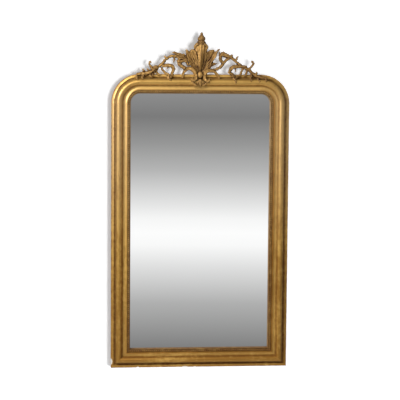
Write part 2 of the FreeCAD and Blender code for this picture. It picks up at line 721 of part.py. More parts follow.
def stem(section, widths, points):
    """A carved stem or leaf along a smooth line. widths are at its start, middle and end, in stem widths."""
    line = Part.BSplineCurve()
    line.interpolate([Vector(x, -forward, z) * value(CREST_SCALE) for x, forward, z in points])
    count = 3 * len(points) // 2
    first, middle, last = (width * value("Sizes.stem_width") for width in widths)
    stations = []
    for number in range(count):
        t = number / (count - 1)
        half = first * (1 - t) * (1 - 2 * t) + middle * 4 * t * (1 - t) + last * t * (2 * t - 1)
        at = line.FirstParameter + t * (line.LastParameter - line.FirstParameter)
        stations.append((line.value(at), Vector(*line.tangent(at)[0]), half))
    return loft_along(stations, section)


def fluted_section(z, left, right, back, depth, flutes, edge, middle):
    """A flat back and a scalloped front, with the shares of the depth at its edges and in its middle."""
    corners = []
    for number in range(flutes + 1):
        share = number / flutes
        crown = edge + (middle - edge) * math.sin(math.pi * share)
        corners.append(Vector(left + (right - left) * share, -back - depth * crown, z))
    base_left, base_right = Vector(left, -back, z), Vector(right, -back, z)
    curves = [Part.LineSegment(base_right, base_left), Part.LineSegment(base_left, corners[0])]
    for start, end in zip(corners, corners[1:]):
        outwards = Vector(end.y - start.y, start.x - end.x, 0)
        curves.append(Part.Arc(start, (start + end) * 0.5 + outwards * 0.2, end))
    curves.append(Part.LineSegment(corners[-1], base_right))
    return Part.Wire([curve.toShape() for curve in curves])


def fluted(sections, flutes, edge=0.3, middle=0.8):
    """A shell or broad leaf through level sections of (height, left, right, back, depth).

    back is how far a section stands in front of the carving's flat back.
    """
    scale = value(CREST_SCALE)
    wires = []
    for section in sections:
        z, left, right, back, depth = (size * scale for size in section)
        back -= value("Sizes.crest_back")
        wires.append(fluted_section(z, left, right, back, depth, flutes, edge, middle))
    return Part.makeLoft(wires, True, True)


def carving(name, shapes):
    """A raw carving from shapes that grow into each other, set on the frame's top edge."""
    thing = doc.addObject("Part::Feature", name)
    thing.Shape = shapes[0].multiFuse(shapes[1:]) if len(shapes) > 1 else shapes[0]
    return place(thing, "0", f"-{SIDE_TOP}", HEIGHT)


def turned(name, corners, rises, x, forward):
    """A turned piece: an outline of (radius, height) round an upright axis."""
    body = new_body(name)
    drawn = [(f"{radius} * {CREST_SCALE}", f"{height} * {CREST_SCALE}") for radius, height in corners]
    swells = {i: f"({rise} * {CREST_SCALE})" for i, rise in rises.items()}
    turn = body.newObject("PartDesign::Revolution", "turn")
    turn.Profile = outline(body, "outline", "XZ_Plane", drawn, swells)
    turn.ReferenceAxis = (turn.Profile[0], ["V_Axis"])
    turn.Angle = 360
    return place(body, f"{x} * {CREST_SCALE}", f"-{SIDE_TOP} - {forward} * {CREST_SCALE}", HEIGHT)


SHELL = [
    (8, -10, -1, 0, 14),
    (27, -18, 4, 0, 22),
    (52, -22, 11, 0, 29),
    (80, -26, 18, 0, 34),
    (101, -30, 24, 0, 36),
    (118, -34, 29, 0, 36),
    (137, -36, 31, 0, 33),
    (148, -30, 26, 1, 29),
    (156, -18, 18, 2, 24),
]
SHELL_FLAME = (LEAF_SECTION, (0.8, 2.4, 1.0), [(-6, 11, 22), (-6, 20, 60), (-4, 24, 95), (-2, 23, 124)])
SHELL_ROLLS = [
    (ROUND_SECTION, (0.7, 1.0, 0.6), [(-32, 12, 122), (-30, 19, 138), (-16, 26, 146)]),
    (ROUND_SECTION, (0.7, 1.0, 0.6), [(27, 12, 122), (25, 19, 138), (12, 26, 146)]),
]
BUD_TIERS = [
    [(148, -19, 18, 1, 27), (156, -21, 20, 1, 31), (166, -20, 20, 1, 30), (171, -17, 18, 3, 25)],
    [(166, -16, 17, 1, 26), (174, -16, 17, 1, 28), (181, -11, 14, 3, 23), (186, -8, 11, 5, 17)],
    [(184, -7, 11, 5, 16), (190, -8, 11, 5, 17), (197, -4, 7, 8, 11), (204, 0, 2, 11, 4)],
]
LEFT_LEAF = [
    (8, -22, -4, 0, 14),
    (25, -38, -8, 0, 20),
    (46, -57, -12, 0, 25),
    (72, -67, -18, 0, 29),
    (89, -71, -22, 0, 30),
    (103, -74, -26, 1, 29),
    (112, -75, -30, 3, 26),
]
LEFT_LEAF_LOBES = [
    [(78, -69, -50, 0, 15), (98, -74, -55, 1, 25), (112, -77, -61, 4, 26), (119, -78, -73, 11, 12)],
    [
        (78, -58, -24, 0, 15), (98, -60, -25, 1, 25), (112, -57, -29, 4, 27), (117, -53, -33, 6, 23),
        (121, -45, -39, 12, 11),
    ],
]
RIGHT_LEAF = [
    (14, 0, 18, 0, 14),
    (25, 3, 33, 0, 19),
    (40, 7, 45, 0, 23),
    (62, 12, 51, 0, 27),
    (74, 14, 62, 0, 29),
    (85, 16, 71, 0, 30),
    (100, 20, 77, 0, 29),
    (111, 29, 78, 3, 26),
]
RIGHT_LEAF_LOBES = [
    [(80, 24, 62, 0, 15), (98, 27, 66, 1, 25), (110, 34, 66, 4, 28), (116, 41, 62, 6, 24), (120, 50, 56, 12, 11)],
    [(80, 50, 68, 0, 15), (98, 60, 77, 1, 25), (111, 69, 83, 4, 24), (122, 85, 89, 11, 10)],
]
RIGHT_LEAF_POINT = (LEAF_SECTION, (1.4, 1.3, 0.15), [(34, 7, 38), (57, 10, 49), (79, 11, 54)])
LEFT_SCROLL = [
    (ROUND_SECTION, (0.8, 1.5, 1.0), [
        (-92, 8, -17), (-87, 10, 4), (-78, 12, 20), (-64, 13, 28), (-48, 15, 25), (-35, 17, 12),
        (-27, 19, -4), (-27, 22, -19), (-35, 26, -30), (-46, 27, -29), (-49, 26, -20), (-42, 25, -16),
    ]),
    (ROUND_SECTION, (0.5, 0.75, 0.4), [(-72, 10, 35), (-50, 14, 32), (-33, 18, 21), (-22, 20, 8)]),
    (LEAF_SECTION, (0.8, 1.3, 0.5), [(-50, 24, -30), (-32, 26, -48), (-14, 25, -58)]),
]
RIGHT_SCROLL = [
    (ROUND_SECTION, (0.8, 1.4, 1.0), [
        (88, 8, -22), (81, 10, -5), (71, 12, 8), (56, 13, 16), (38, 15, 17), (24, 17, 12), (15, 19, 0),
        (14, 22, -14), (18, 26, -27), (28, 27, -34), (37, 26, -29), (37, 25, -21),
    ]),
    (ROUND_SECTION, (0.5, 0.75, 0.4), [(52, 10, 25), (33, 14, 22), (19, 18, 15), (10, 20, 4)]),
    (LEAF_SECTION, (0.8, 1.3, 0.5), [(40, 24, -29), (21, 26, -44), (4, 25, -56)]),
]
LEFT_SPRAY = [
    (ROUND_SECTION, (1.6, 1.15, 1.2), [
        (-61, 8, 64), (-79, 11, 73), (-103, 12, 81), (-126, 12, 87), (-148, 12, 87), (-164, 11, 78),
        (-175, 11, 69), (-185, 11, 56), (-194, 10, 45), (-207, 10, 36), (-221, 10, 25),
    ]),
    (LEAF_SECTION, (1.3, 2.2, 0.4), [(-63, 12, 68), (-89, 15, 84), (-116, 16, 93), (-135, 15, 109)]),
    (ROUND_SECTION, (1.3, 1.3, 0.7), [(-96, 13, 82), (-89, 16, 91), (-84, 17, 98)]),
    (ROUND_SECTION, (0.9, 0.75, 0.3), [(-132, 11, 85), (-132, 11, 69), (-135, 11, 56)]),
    (ROUND_SECTION, (1.2, 1.5, 1.3), [
        (-106, 11, 82), (-109, 11, 64), (-107, 11, 49), (-99, 11, 41), (-86, 11, 34), (-75, 10, 27),
    ]),
    (ROUND_SECTION, (1.1, 1.2, 1.1), [
        (-103, 11, 55), (-96, 12, 63), (-81, 12, 65), (-69, 11, 55), (-64, 10, 41),
    ]),
    (ROUND_SECTION, (1.2, 1.4, 0.8), [(-88, 12, 37), (-83, 14, 28), (-77, 12, 24)]),
    (ROUND_SECTION, (1.0, 0.9, 0.75), [(-169, 11, 72), (-174, 12, 80), (-178, 12, 88)]),
    (ROUND_SECTION, (1.2, 1.55, 0.85), [
        (-191, 11, 38), (-174, 12, 42), (-157, 13, 42), (-142, 13, 38), (-135, 13, 28), (-138, 12, 14),
        (-146, 12, 1),
    ]),
    (LEAF_SECTION, (1.0, 1.0, 0.2), [(-139, 13, 35), (-132, 14, 28), (-127, 14, 23)]),
    (ROUND_SECTION, (0.9, 0.6, 0.2), [(-163, 13, 40), (-162, 13, 33), (-163, 13, 28)]),
    (ROUND_SECTION, (0.85, 0.85, 0.95), [
        (-195, 10, 33), (-189, 10, 20), (-180, 10, 10), (-169, 11, 2), (-155, 12, -2),
    ]),
    (LEAF_SECTION, (1.0, 1.4, 0.3), [(-158, 12, -1), (-159, 13, -11), (-156, 17, -20), (-150, 23, -30)]),
    (ROUND_SECTION, (0.9, 0.95, 0.4), [(-139, 12, 8), (-144, 14, -6), (-150, 19, -19)]),
    (ROUND_SECTION, (0.9, 0.9, 0.6), [
        (-210, 9, 33), (-218, 9, 20), (-218, 9, 10), (-212, 10, 2), (-200, 11, -4),
    ]),
    (LEAF_SECTION, (1.2, 2.7, 1.2), [(-210, 11, 38), (-226, 13, 25), (-237, 13, 15), (-248, 12, 7)]),
    (LEAF_SECTION, (1.0, 1.9, 0.8), [(-242, 11, 33), (-234, 13, 20), (-226, 12, 6)]),
    (ROUND_SECTION, (0.95, 0.8, 0.65), [
        (-240, 11, 30), (-249, 11, 41), (-253, 11, 51), (-251, 12, 59), (-244, 12, 60),
    ]),
    (LEAF_SECTION, (1.1, 0.9, 0.15), [(-253, 11, 13), (-258, 11, 21), (-264, 11, 29)]),
    (LEAF_SECTION, (1.2, 1.0, 0.15), [(-275, 10, 7), (-281, 11, 18), (-285, 11, 30)]),
    (ROUND_SECTION, (1.5, 1.55, 1.0), [
        (-242, 11, 10), (-258, 11, 6), (-276, 10, 2), (-296, 9, 0), (-315, 8, -1),
    ]),
    (LEAF_SECTION, (1.1, 1.3, 0.35), [(-249, 11, 2), (-247, 13, -7), (-243, 18, -17)]),
    (LEAF_SECTION, (1.0, 1.2, 0.4), [(-234, 12, 8), (-237, 13, -3), (-239, 16, -13)]),
    (LEAF_SECTION, (0.9, 1.2, 0.35), [(-279, 10, -2), (-283, 13, -12), (-285, 22, -27)]),
    (LEAF_SECTION, (1.0, 1.2, 0.35), [(-312, 9, -3), (-313, 13, -14), (-310, 21, -26)]),
]
RIGHT_SPRAY = [
    (ROUND_SECTION, (1.2, 1.2, 1.05), [
        (45, 7, 15), (62, 9, 21), (81, 10, 28), (94, 11, 37), (104, 11, 48), (113, 11, 61), (127, 11, 74),
        (140, 11, 82),
    ]),
    (ROUND_SECTION, (1.1, 1.15, 1.15), [
        (136, 11, 86), (152, 11, 76), (167, 11, 64), (181, 11, 52), (193, 11, 43), (206, 11, 35),
        (222, 10, 29), (236, 10, 20), (247, 10, 10),
    ]),
    (ROUND_SECTION, (1.5, 1.75, 1.2), [(94, 12, 98), (109, 12, 96), (124, 12, 90), (140, 12, 85)]),
    (LEAF_SECTION, (1.3, 1.1, 0.3), [(96, 12, 90), (89, 14, 98), (86, 14, 106)]),
    (LEAF_SECTION, (1.5, 1.4, 0.5), [(103, 13, 93), (108, 16, 100), (114, 16, 108)]),
    (ROUND_SECTION, (1.1, 1.0, 0.75), [(140, 12, 85), (147, 13, 90), (152, 13, 95)]),
    (ROUND_SECTION, (1.4, 1.35, 1.2), [
        (95, 12, 95), (92, 12, 84), (93, 12, 71), (99, 12, 61), (108, 11, 56),
    ]),
    (ROUND_SECTION, (1.0, 0.85, 0.8), [(167, 11, 65), (171, 12, 74), (174, 12, 84)]),
    (ROUND_SECTION, (1.1, 1.55, 0.95), [
        (193, 11, 39), (175, 12, 39), (160, 13, 38), (148, 13, 32), (140, 13, 19), (133, 12, 6),
    ]),
    (ROUND_SECTION, (0.9, 0.65, 0.2), [(165, 13, 35), (166, 13, 25), (165, 13, 17)]),
    (LEAF_SECTION, (1.3, 1.7, 0.3), [(197, 12, 38), (210, 13, 36), (223, 14, 41)]),
    (LEAF_SECTION, (1.1, 1.5, 0.35), [(138, 12, 14), (150, 14, -2), (160, 18, -19), (168, 24, -41)]),
    (ROUND_SECTION, (0.85, 0.85, 0.6), [
        (200, 10, 27), (197, 10, 14), (190, 11, 1), (180, 12, -9), (166, 16, -17),
    ]),
    (LEAF_SECTION, (0.9, 1.3, 0.5), [(148, 12, 4), (158, 13, -6), (172, 14, -15)]),
    (ROUND_SECTION, (0.95, 0.85, 0.55), [(223, 10, 26), (222, 10, 12), (217, 11, 1), (207, 12, -8)]),
    (ROUND_SECTION, (0.95, 0.8, 0.65), [
        (226, 10, 25), (239, 11, 33), (250, 11, 45), (254, 12, 56), (251, 12, 63), (244, 12, 65),
    ]),
    (LEAF_SECTION, (1.1, 1.2, 0.35), [
        (238, 10, 17), (246, 12, 7), (244, 14, -9), (242, 19, -22), (243, 24, -35),
    ]),
    (ROUND_SECTION, (1.0, 1.15, 0.65), [(261, 11, -6), (267, 14, 3), (272, 14, 10)]),
    (ROUND_SECTION, (1.2, 1.5, 0.8), [
        (246, 10, 11), (261, 11, -2), (278, 12, -9), (298, 12, -14), (315, 12, -17), (331, 12, -21),
    ]),
    (LEAF_SECTION, (1.0, 1.2, 0.4), [(282, 12, -9), (279, 16, -23), (283, 24, -39)]),
    (LEAF_SECTION, (1.0, 1.1, 0.35), [(312, 12, -17), (315, 16, -24), (317, 22, -36)]),
]


def crest(frame, block):
    """Each carving is cut to sit on the frame and against the ones that were fixed before it."""
    fixed = [*frame, block]

    def seat(label, raw, against):
        return keep(cut(f"seated_{label}", raw, against), label)

    shell_parts = [fluted(SHELL, 5), stem(*SHELL_FLAME), *(stem(*roll) for roll in SHELL_ROLLS)]
    shell = keep(carving("shell", shell_parts), "crest_shell")
    left_leaf = [fluted(LEFT_LEAF, 5, 0.85, 0.5), *(fluted(lobe, 2) for lobe in LEFT_LEAF_LOBES)]
    right_leaf = [fluted(RIGHT_LEAF, 5, 0.85, 0.5), *(fluted(lobe, 2) for lobe in RIGHT_LEAF_LOBES)]
    right_leaf.append(stem(*RIGHT_LEAF_POINT))
    leaves = []
    for name, parts in (("left", left_leaf), ("right", right_leaf)):
        leaves.append(seat(f"crest_leaf_{name}", carving(f"leaf_{name}", parts), [shell]))
    seat("crest_bud", carving("bud", [fluted(tier, 3) for tier in BUD_TIERS]), [shell])
    oval = [("0", "-19"), ("5", "-19"), ("5", "14"), ("0", "14")]
    cabochon = turned("cabochon", oval, {1: "9.5"}, "-6", "18")
    fixed += [shell, *leaves]
    fixed.append(seat("crest_cabochon", cabochon, fixed))
    drop = [("0", "-62.5"), ("1.5", "-62.5"), ("13", "-33"), ("6", "-22"), ("0", "-22")]
    pendant = turned("pendant", drop, {1: "2", 2: "2"}, "-5.5", "20")
    fixed.append(seat("crest_pendant", pendant, fixed))
    for name, parts in (("left", LEFT_SCROLL), ("right", RIGHT_SCROLL)):
        raw = carving(f"scroll_{name}", [stem(*part) for part in parts])
        fixed.append(seat(f"crest_scroll_{name}", raw, fixed))
    for name, parts in (("left", LEFT_SPRAY), ("right", RIGHT_SPRAY)):
        raw = carving(f"spray_{name}", [stem(*part) for part in parts])
        seat(f"crest_spray_{name}", raw, fixed)


frame_pieces = [
    moulding_stile("stile_left", -1),
    moulding_stile("stile_right", 1),
    moulding_bottom_rail("bottom_rail"),
    moulding_top_rail("top_rail"),
    moulding_corner("corner_left", -1),
    moulding_corner("corner_right", 1),
]
pearls()
mirror_plate("mirror_plate")
glue_blocks("glass_blocks")
setting_shims("glass_shims")
nail_holes = backboards()
hanger_holes = hangers()
crest_block, rail_holes = crest_support()
for name, side in (("left", -1), ("right", 1)):
    stile = carcass_stile(f"softwood_{name}", side)
    keep(cut(f"bored_stile_{name}", stile, nail_holes[side] + hanger_holes[side]), f"carcass_stile_{name}")
keep(cut("bored_top_rail", carcass_top_rail(), rail_holes), "carcass_rail_top")
keep(carcass_bottom_rail(), "carcass_rail_bottom")
crest(frame_pieces[3:], crest_block)

doc.recompute()

# Every object must have rebuilt, and every sub-part must be a sound solid, before anything is written.

for thing in doc.Objects:
    if "Invalid" in thing.State or "Error" in thing.State:
        raise RuntimeError(f"{thing.Label} did not rebuild: {thing.State}")
for thing in SUB_PARTS:
    if thing.Shape.isNull() or not thing.Shape.isValid() or not thing.Shape.Solids:
        raise RuntimeError(f"{thing.Label} is not a sound solid")

os.makedirs("parts", exist_ok=True)
for thing in SUB_PARTS:
    thing.Shape.exportStep(os.path.join("parts", thing.Label + ".step"))
    print(f"{thing.Label}: {len(thing.Shape.Solids)} solids, {thing.Shape.Volume:.0f} mm3")
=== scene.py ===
# %% [markdown]
# A tall gilt wall mirror, dressed for its portrait
#
# The object is a French style wall mirror: a softwood carcass, a moulded and gilded front with rounded
# upper corners, a string of pearls round the sight edge, and a carved rocaille crest. The CAD model gives
# every piece its place and size. This lesson replaces the gilded front with pieces that have the softness
# of handwork, and gives the others their finish. One unit is a metre, y is zero at the back of the frame,
# and the room is at -y.

# %% Load the fixed frame
import math

import bmesh
import bpy
import numpy as np
from mathutils import Matrix, Vector


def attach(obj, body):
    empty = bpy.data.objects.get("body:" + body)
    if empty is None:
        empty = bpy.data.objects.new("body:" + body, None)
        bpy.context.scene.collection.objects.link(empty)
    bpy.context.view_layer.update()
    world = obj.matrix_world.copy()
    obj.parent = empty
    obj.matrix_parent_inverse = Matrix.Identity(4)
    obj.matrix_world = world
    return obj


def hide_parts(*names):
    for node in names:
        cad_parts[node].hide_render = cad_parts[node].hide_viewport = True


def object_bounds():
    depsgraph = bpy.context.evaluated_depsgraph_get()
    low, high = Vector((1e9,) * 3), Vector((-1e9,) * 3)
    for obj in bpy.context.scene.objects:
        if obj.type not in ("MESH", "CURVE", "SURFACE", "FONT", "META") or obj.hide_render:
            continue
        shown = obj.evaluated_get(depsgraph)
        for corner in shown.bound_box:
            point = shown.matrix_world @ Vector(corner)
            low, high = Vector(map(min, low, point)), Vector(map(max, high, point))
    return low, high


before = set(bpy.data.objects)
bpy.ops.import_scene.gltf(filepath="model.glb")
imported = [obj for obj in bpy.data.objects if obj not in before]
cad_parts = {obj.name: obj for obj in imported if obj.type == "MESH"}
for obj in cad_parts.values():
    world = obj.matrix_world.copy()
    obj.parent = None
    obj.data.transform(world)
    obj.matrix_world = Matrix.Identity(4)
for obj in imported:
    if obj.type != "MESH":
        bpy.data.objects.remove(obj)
cad_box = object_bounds()
scene = bpy.context.scene
MM = 0.001
print("CAD box", [[round(x, 4) for x in corner] for corner in cad_box])

# %% [markdown]
# Helpers for node trees
#
# Shaders and geometry are both trees of nodes. Short helpers keep the lesson readable: one adds a node,
# one gives a tree its inputs and outputs, and the rest are sums, mixes and noises. A socket is wired, a
# node stands for its first output, and any other value is typed into the field.

# %% Helpers that add and wire nodes
def wire(tree, node, **values):
    """Gives values to a node's inputs, which are named, or numbered as i0, i1 and so on."""
    for name, value in values.items():
        numbered = name[0] == "i" and name[1:].isdigit()
        socket = node.inputs[int(name[1:]) if numbered else name.replace("_", " ")]
        if isinstance(value, bpy.types.Node):
            value = value.outputs[0]
        if isinstance(value, bpy.types.NodeSocket):
            tree.links.new(value, socket)
        else:
            socket.default_value = value


def add(tree, kind, fields=None, **values):
    """Adds a node. fields are the node's own settings, and values go to its inputs."""
    node = tree.nodes.new(kind)
    for name, value in (fields or {}).items():
        setattr(node, name, value)
    wire(tree, node, **values)
    return node


def declare(tree, inputs, outputs):
    """Gives a tree its named sockets, listed by kind, and returns its two end nodes."""
    for direction, kinds in (("INPUT", inputs), ("OUTPUT", outputs)):
        for kind, names in kinds.items():
            for name in names:
                tree.interface.new_socket(name=name, in_out=direction, socket_type="NodeSocket" + kind)
    return tree.nodes.new("NodeGroupInput"), tree.nodes.new("NodeGroupOutput")


print("helpers that add and wire nodes")


# %% Helpers for sums and colours
def maths(tree, operation, first, second=0.0, clamp=False):
    return add(tree, "ShaderNodeMath", {"operation": operation, "use_clamp": clamp}, i0=first, i1=second)


def product(tree, first, *others):
    for other in others:
        first = maths(tree, "MULTIPLY", first, other)
    return first


def weighed(tree, *shares, clamp=False):
    """The sum of sockets, each times its weight."""
    first, *others = [product(tree, socket, weight) for socket, weight in shares]
    for other in others:
        first = maths(tree, "ADD", first, other, clamp)
    return first


def remainder(tree, value, share=1.0):
    """What a share of a value leaves of one."""
    return maths(tree, "SUBTRACT", 1.0, product(tree, value, share))


def remapped(tree, value, low, high, out_low=0.0, out_high=1.0):
    """Stretches low..high over out_low..out_high, with soft ends."""
    soft = {"interpolation_type": "SMOOTHSTEP"}
    return add(tree, "ShaderNodeMapRange", soft, i0=value, i1=low, i2=high, i3=out_low, i4=out_high)


def vector_maths(tree, operation, first, second):
    return add(tree, "ShaderNodeVectorMath", {"operation": operation}, i0=first, i1=second)


def scaled(tree, vector, factor):
    return add(tree, "ShaderNodeVectorMath", {"operation": "SCALE"}, i0=vector, i3=factor)


def split(tree, vector):
    return add(tree, "ShaderNodeSeparateXYZ", Vector=vector).outputs


def srgb(red, green, blue):
    """A colour as it is read off a screen, 0 to 255, in the linear form that shaders work in."""
    linear = [((c / 255 + 0.055) / 1.055) ** 2.4 if c > 10 else c / 255 / 12.92 for c in (red, green, blue)]
    return (*linear, 1.0)


def mixed(tree, share, first, second):
    return add(tree, "ShaderNodeMix", {"data_type": "RGBA"}, i0=share, i6=first, i7=second).outputs[2]


def noise(tree, where, scale, detail=3.0, roughness=0.55):
    """Soft noise with scale lumps to the metre."""
    return add(tree, "ShaderNodeTexNoise", Vector=where, Scale=scale, Detail=detail, Roughness=roughness)


def new_material(name):
    """A material, its tree, its shader, and where on the object each point lies."""
    material = bpy.data.materials.new(name)
    material.use_nodes = True
    tree = material.node_tree
    return material, tree, tree.nodes["Principled BSDF"], add(tree, "ShaderNodeTexCoord").outputs["Object"]


print("helpers for sums and colours")

# %% [markdown]
# Aged gilding
#
# Gold leaf lies over red clay bole, the bole over white gesso, and the gesso over wood. A century of
# dusting rubs the leaf off the crowns, so that the bole shows, and leaves brown dirt in the hollows, where
# the same brown also stands for painted shade. All the gilded pieces share that history, so it is one node
# group. It reads attributes that are painted on the vertices: hollow and crown for how deep or proud the
# surface is, burnish for polished leaf, which is painted lighter as a highlight, bare for chips down to the
# gesso, and brushed, a place in which streaks run along the moulding. The leaf is painted duller towards
# the bottom, and paler higher up as a painted sheen. A cavity node could find the hollows while rendering,
# but an attribute stays with the mesh wherever it goes.

# %% The gilding group
# noises in lumps to the metre
PATCHES, BLOTCHES, SPECKS, STREAKS = 7.0, 55.0, 420.0, 150.0
# lighter leaf of burnished parts, a painted highlight
BURNISHED_HIGHLIGHT_LEAF = srgb(238, 194, 108)
# pale leaf of the painted sheen higher up
PAINTED_SHEEN_LEAF = srgb(228, 194, 146)
WHITE_GESSO = srgb(236, 228, 214)
BROWN_DIRT_AND_SHADE = srgb(70, 38, 15)
GILDING_INPUTS = {
    "Vector": ["Place", "Brushed"],
    "Float": ["Hollow", "Crown", "Burnish", "Bare", "Dirt Amount", "Rubbing", "Polish", "Fading"],
    "Color": ["Bright Leaf", "Dull Leaf", "Bole"],
}


def leaf_colour(tree, get, blotches):
    """The leaf before any wear: bright and dull patches, polished parts, and a painted sheen higher up."""
    height = split(tree, get["Place"])["Z"]
    patches = noise(tree, get["Place"], PATCHES, 4.0)
    streaks = noise(tree, get["Brushed"], STREAKS)
    tone = weighed(tree, (patches, 0.4), (blotches, 0.25), (streaks, 0.35))
    # the leaf is painted duller towards the bottom
    near_floor = remapped(tree, height, 0.0, 1.3, 0.07, -0.05)
    dulled = remapped(tree, maths(tree, "ADD", tone, near_floor), 0.4, 0.62)
    leaf = mixed(tree, dulled, get["Bright Leaf"], get["Dull Leaf"])
    # burnished parts are painted lighter, a painted highlight
    shine = product(tree, get["Burnish"], remapped(tree, dulled, 0.0, 1.0, 1.0, 0.6))
    leaf = mixed(tree, shine, leaf, BURNISHED_HIGHLIGHT_LEAF)
    # a pale painted sheen higher up, which fades out just below the top
    higher_up = product(tree, remapped(tree, height, 0.5, 1.2), remapped(tree, height, 1.3, 1.42, 1.0, 0.1))
    return mixed(tree, product(tree, higher_up, get["Fading"]), leaf, PAINTED_SHEEN_LEAF)


def gilding_group():
    tree = bpy.data.node_groups.new("aged_gilding", "ShaderNodeTree")
    outputs = {"Color": ["Color"], "Float": ["Roughness", "Metallic", "Height"]}
    start, end = declare(tree, GILDING_INPUTS, outputs)
    get = start.outputs
    blotches = noise(tree, get["Place"], BLOTCHES, 4.0)
    specks = noise(tree, get["Place"], SPECKS)
    ragged = weighed(tree, (blotches, 0.7), (specks, 0.3))
    rub = product(tree, get["Crown"], get["Rubbing"])
    rubbed = remapped(tree, maths(tree, "ADD", rub, ragged), 0.92, 1.12)
    # hollows take brown: dirt, and painted shade in the same colour
    depth = product(tree, get["Hollow"], get["Dirt Amount"])
    dirt_and_shade = maths(tree, "MULTIPLY", depth, remapped(tree, ragged, 0.25, 0.6, 0.7, 1.0), clamp=True)
    chipped_off = remapped(tree, weighed(tree, (get["Bare"], 1.0), (ragged, 0.6)), 0.75, 0.9)
    colour = leaf_colour(tree, get, blotches)
    for share, layer in ((rubbed, get["Bole"]), (dirt_and_shade, BROWN_DIRT_AND_SHADE), (chipped_off, WHITE_GESSO)):
        colour = mixed(tree, share, colour, layer)
    matt = remapped(tree, get["Polish"], 0.3, 0.7, 0.5, 0.33)
    rough = weighed(tree, (blotches, 0.16), (matt, 1.0), (dirt_and_shade, 0.25), (rubbed, 0.2))
    leaf_left = product(tree, remainder(tree, rubbed, 0.8), remainder(tree, chipped_off))
    metal = product(tree, leaf_left, remainder(tree, dirt_and_shade, 0.6), get["Polish"])
    lumps = weighed(tree, (blotches, 0.6), (specks, 0.25), (rubbed, -0.3))
    wire(tree, end, Color=colour, Roughness=rough, Metallic=metal, Height=lumps)
    return tree


GILDING = gilding_group()
print("gilding group:", len(GILDING.nodes), "nodes")

# %% The gilt finishes
PAINTED = {"Hollow": "Fac", "Crown": "Fac", "Burnish": "Fac", "Bare": "Fac", "Brushed": "Vector"}
RED_BOLE = srgb(146, 82, 46)
PALE_BOLE = srgb(180, 140, 92)


def gilt(name, relief, **history):
    """A gilded finish. relief is the height of its unevenness, and history goes to the gilding group."""
    material, tree, shader, where = new_material(name)
    for title, output in PAINTED.items():
        node = add(tree, "ShaderNodeAttribute", {"attribute_name": title.lower()})
        history[title] = node.outputs[output]
    age = add(tree, "ShaderNodeGroup", {"node_tree": GILDING}, Place=where, **history).outputs
    bump = add(tree, "ShaderNodeBump", Strength=0.5, Distance=relief, Height=age["Height"])
    wire(tree, shader, Base_Color=age["Color"], Roughness=age["Roughness"], Metallic=age["Metallic"],
         Normal=bump, Specular_IOR_Level=0.3, Coat_Weight=0.06, Coat_Roughness=0.35)
    return material


GILT_MOULDING = gilt(
    "gilt_moulding", 0.6 * MM, Bright_Leaf=srgb(218, 171, 87), Dull_Leaf=srgb(168, 118, 47), Bole=RED_BOLE,
    Dirt_Amount=0.9, Rubbing=0.55, Polish=0.65, Fading=0.4,
)
GILT_PEARLS = gilt(
    "gilt_pearls", 0.3 * MM, Bright_Leaf=srgb(238, 190, 112), Dull_Leaf=srgb(200, 146, 76), Bole=RED_BOLE,
    Dirt_Amount=1.0, Rubbing=0.3, Polish=0.65, Fading=0.15,
)
GILT_CARVING = gilt(
    "gilt_carving", 0.8 * MM, Bright_Leaf=srgb(190, 147, 82), Dull_Leaf=srgb(146, 104, 54), Bole=PALE_BOLE,
    Dirt_Amount=0.78, Rubbing=0.4, Polish=0.4, Fading=0.05,
)
print("gilt finishes:", GILT_MOULDING.name, GILT_PEARLS.name, GILT_CARVING.name)

# %% [markdown]
# From a working object to a finished piece
#
# Geometry Nodes build what follows a rule. The modifier is set on a working object and evaluated once, and
# the working object is thrown away, so that each piece is an ordinary mesh with its place in its vertices.
# The piece is then painted, set on the frame's body, and the CAD solid that it stands for is hidden.

# %% Helpers that freeze shapes
def placed(name, data):
    """A new object in the scene."""
    thing = bpy.data.objects.new(name, data)
    scene.collection.objects.link(thing)
    return thing


def frozen(name, source):
    """A plain mesh piece with the shape that a working object's modifiers give it."""
    graph = bpy.context.evaluated_depsgraph_get()
    shape = source.evaluated_get(graph)
    mesh = bpy.data.meshes.new_from_object(shape, preserve_all_data_layers=True, depsgraph=graph)
    mesh.name = name
    bpy.data.objects.remove(source)
    return placed(name, mesh)


def baked(name, source, tree, values):
    """The piece that a node tree makes from a working object, with values for the tree's inputs."""
    modifier = source.modifiers.new(tree.name, "NODES")
    modifier.node_group = tree
    for socket in tree.interface.items_tree:
        if socket.in_out == "INPUT" and socket.name in values:
            modifier[socket.identifier] = values[socket.name]
    return frozen(name, source)


def path_object(name, points, closed=False):
    """A working curve of straight steps through points in the frame."""
    curve = bpy.data.curves.new(name, "CURVE")
    curve.dimensions = "3D"
    spline = curve.splines.new("POLY")
    spline.points.add(len(points) - 1)
    for spot, point in zip(spline.points, points):
        spot.co = (*point, 1.0)
    spline.use_cyclic_u = closed
    return placed(name, curve)


def geometry_tree(name, inputs, output):
    """A new tree for a modifier, its inputs and the node that ends it."""
    tree = bpy.data.node_groups.new(name, "GeometryNodeTree")
    tree.is_modifier = True
    start, end = declare(tree, inputs, {"Geometry": [output]})
    return tree, start.outputs, end


def hand_over(tree, end, geometry, finish):
    """Ends a tree: the surface is shaded smooth and gets its finish."""
    smooth = add(tree, "GeometryNodeSetShadeSmooth", Geometry=geometry)
    finished = add(tree, "GeometryNodeSetMaterial", Geometry=smooth, Material=finish)
    wire(tree, end, i0=finished)


print("helpers that freeze shapes")


# %% Helpers that read, paint and settle a mesh
def paint(mesh, name, values):
    """Stores one number for each vertex, for the finishes to read."""
    attribute = mesh.attributes.get(name) or mesh.attributes.new(name, "FLOAT", "POINT")
    attribute.data.foreach_set("value", np.asarray(values, np.float32))


def read_array(items, name, width=3, kind=np.float32):
    """One row for each item of a mesh, such as the place of each vertex."""
    values = np.zeros(len(items) * width, kind)
    items.foreach_get(name, values)
    return values.reshape(-1, width)


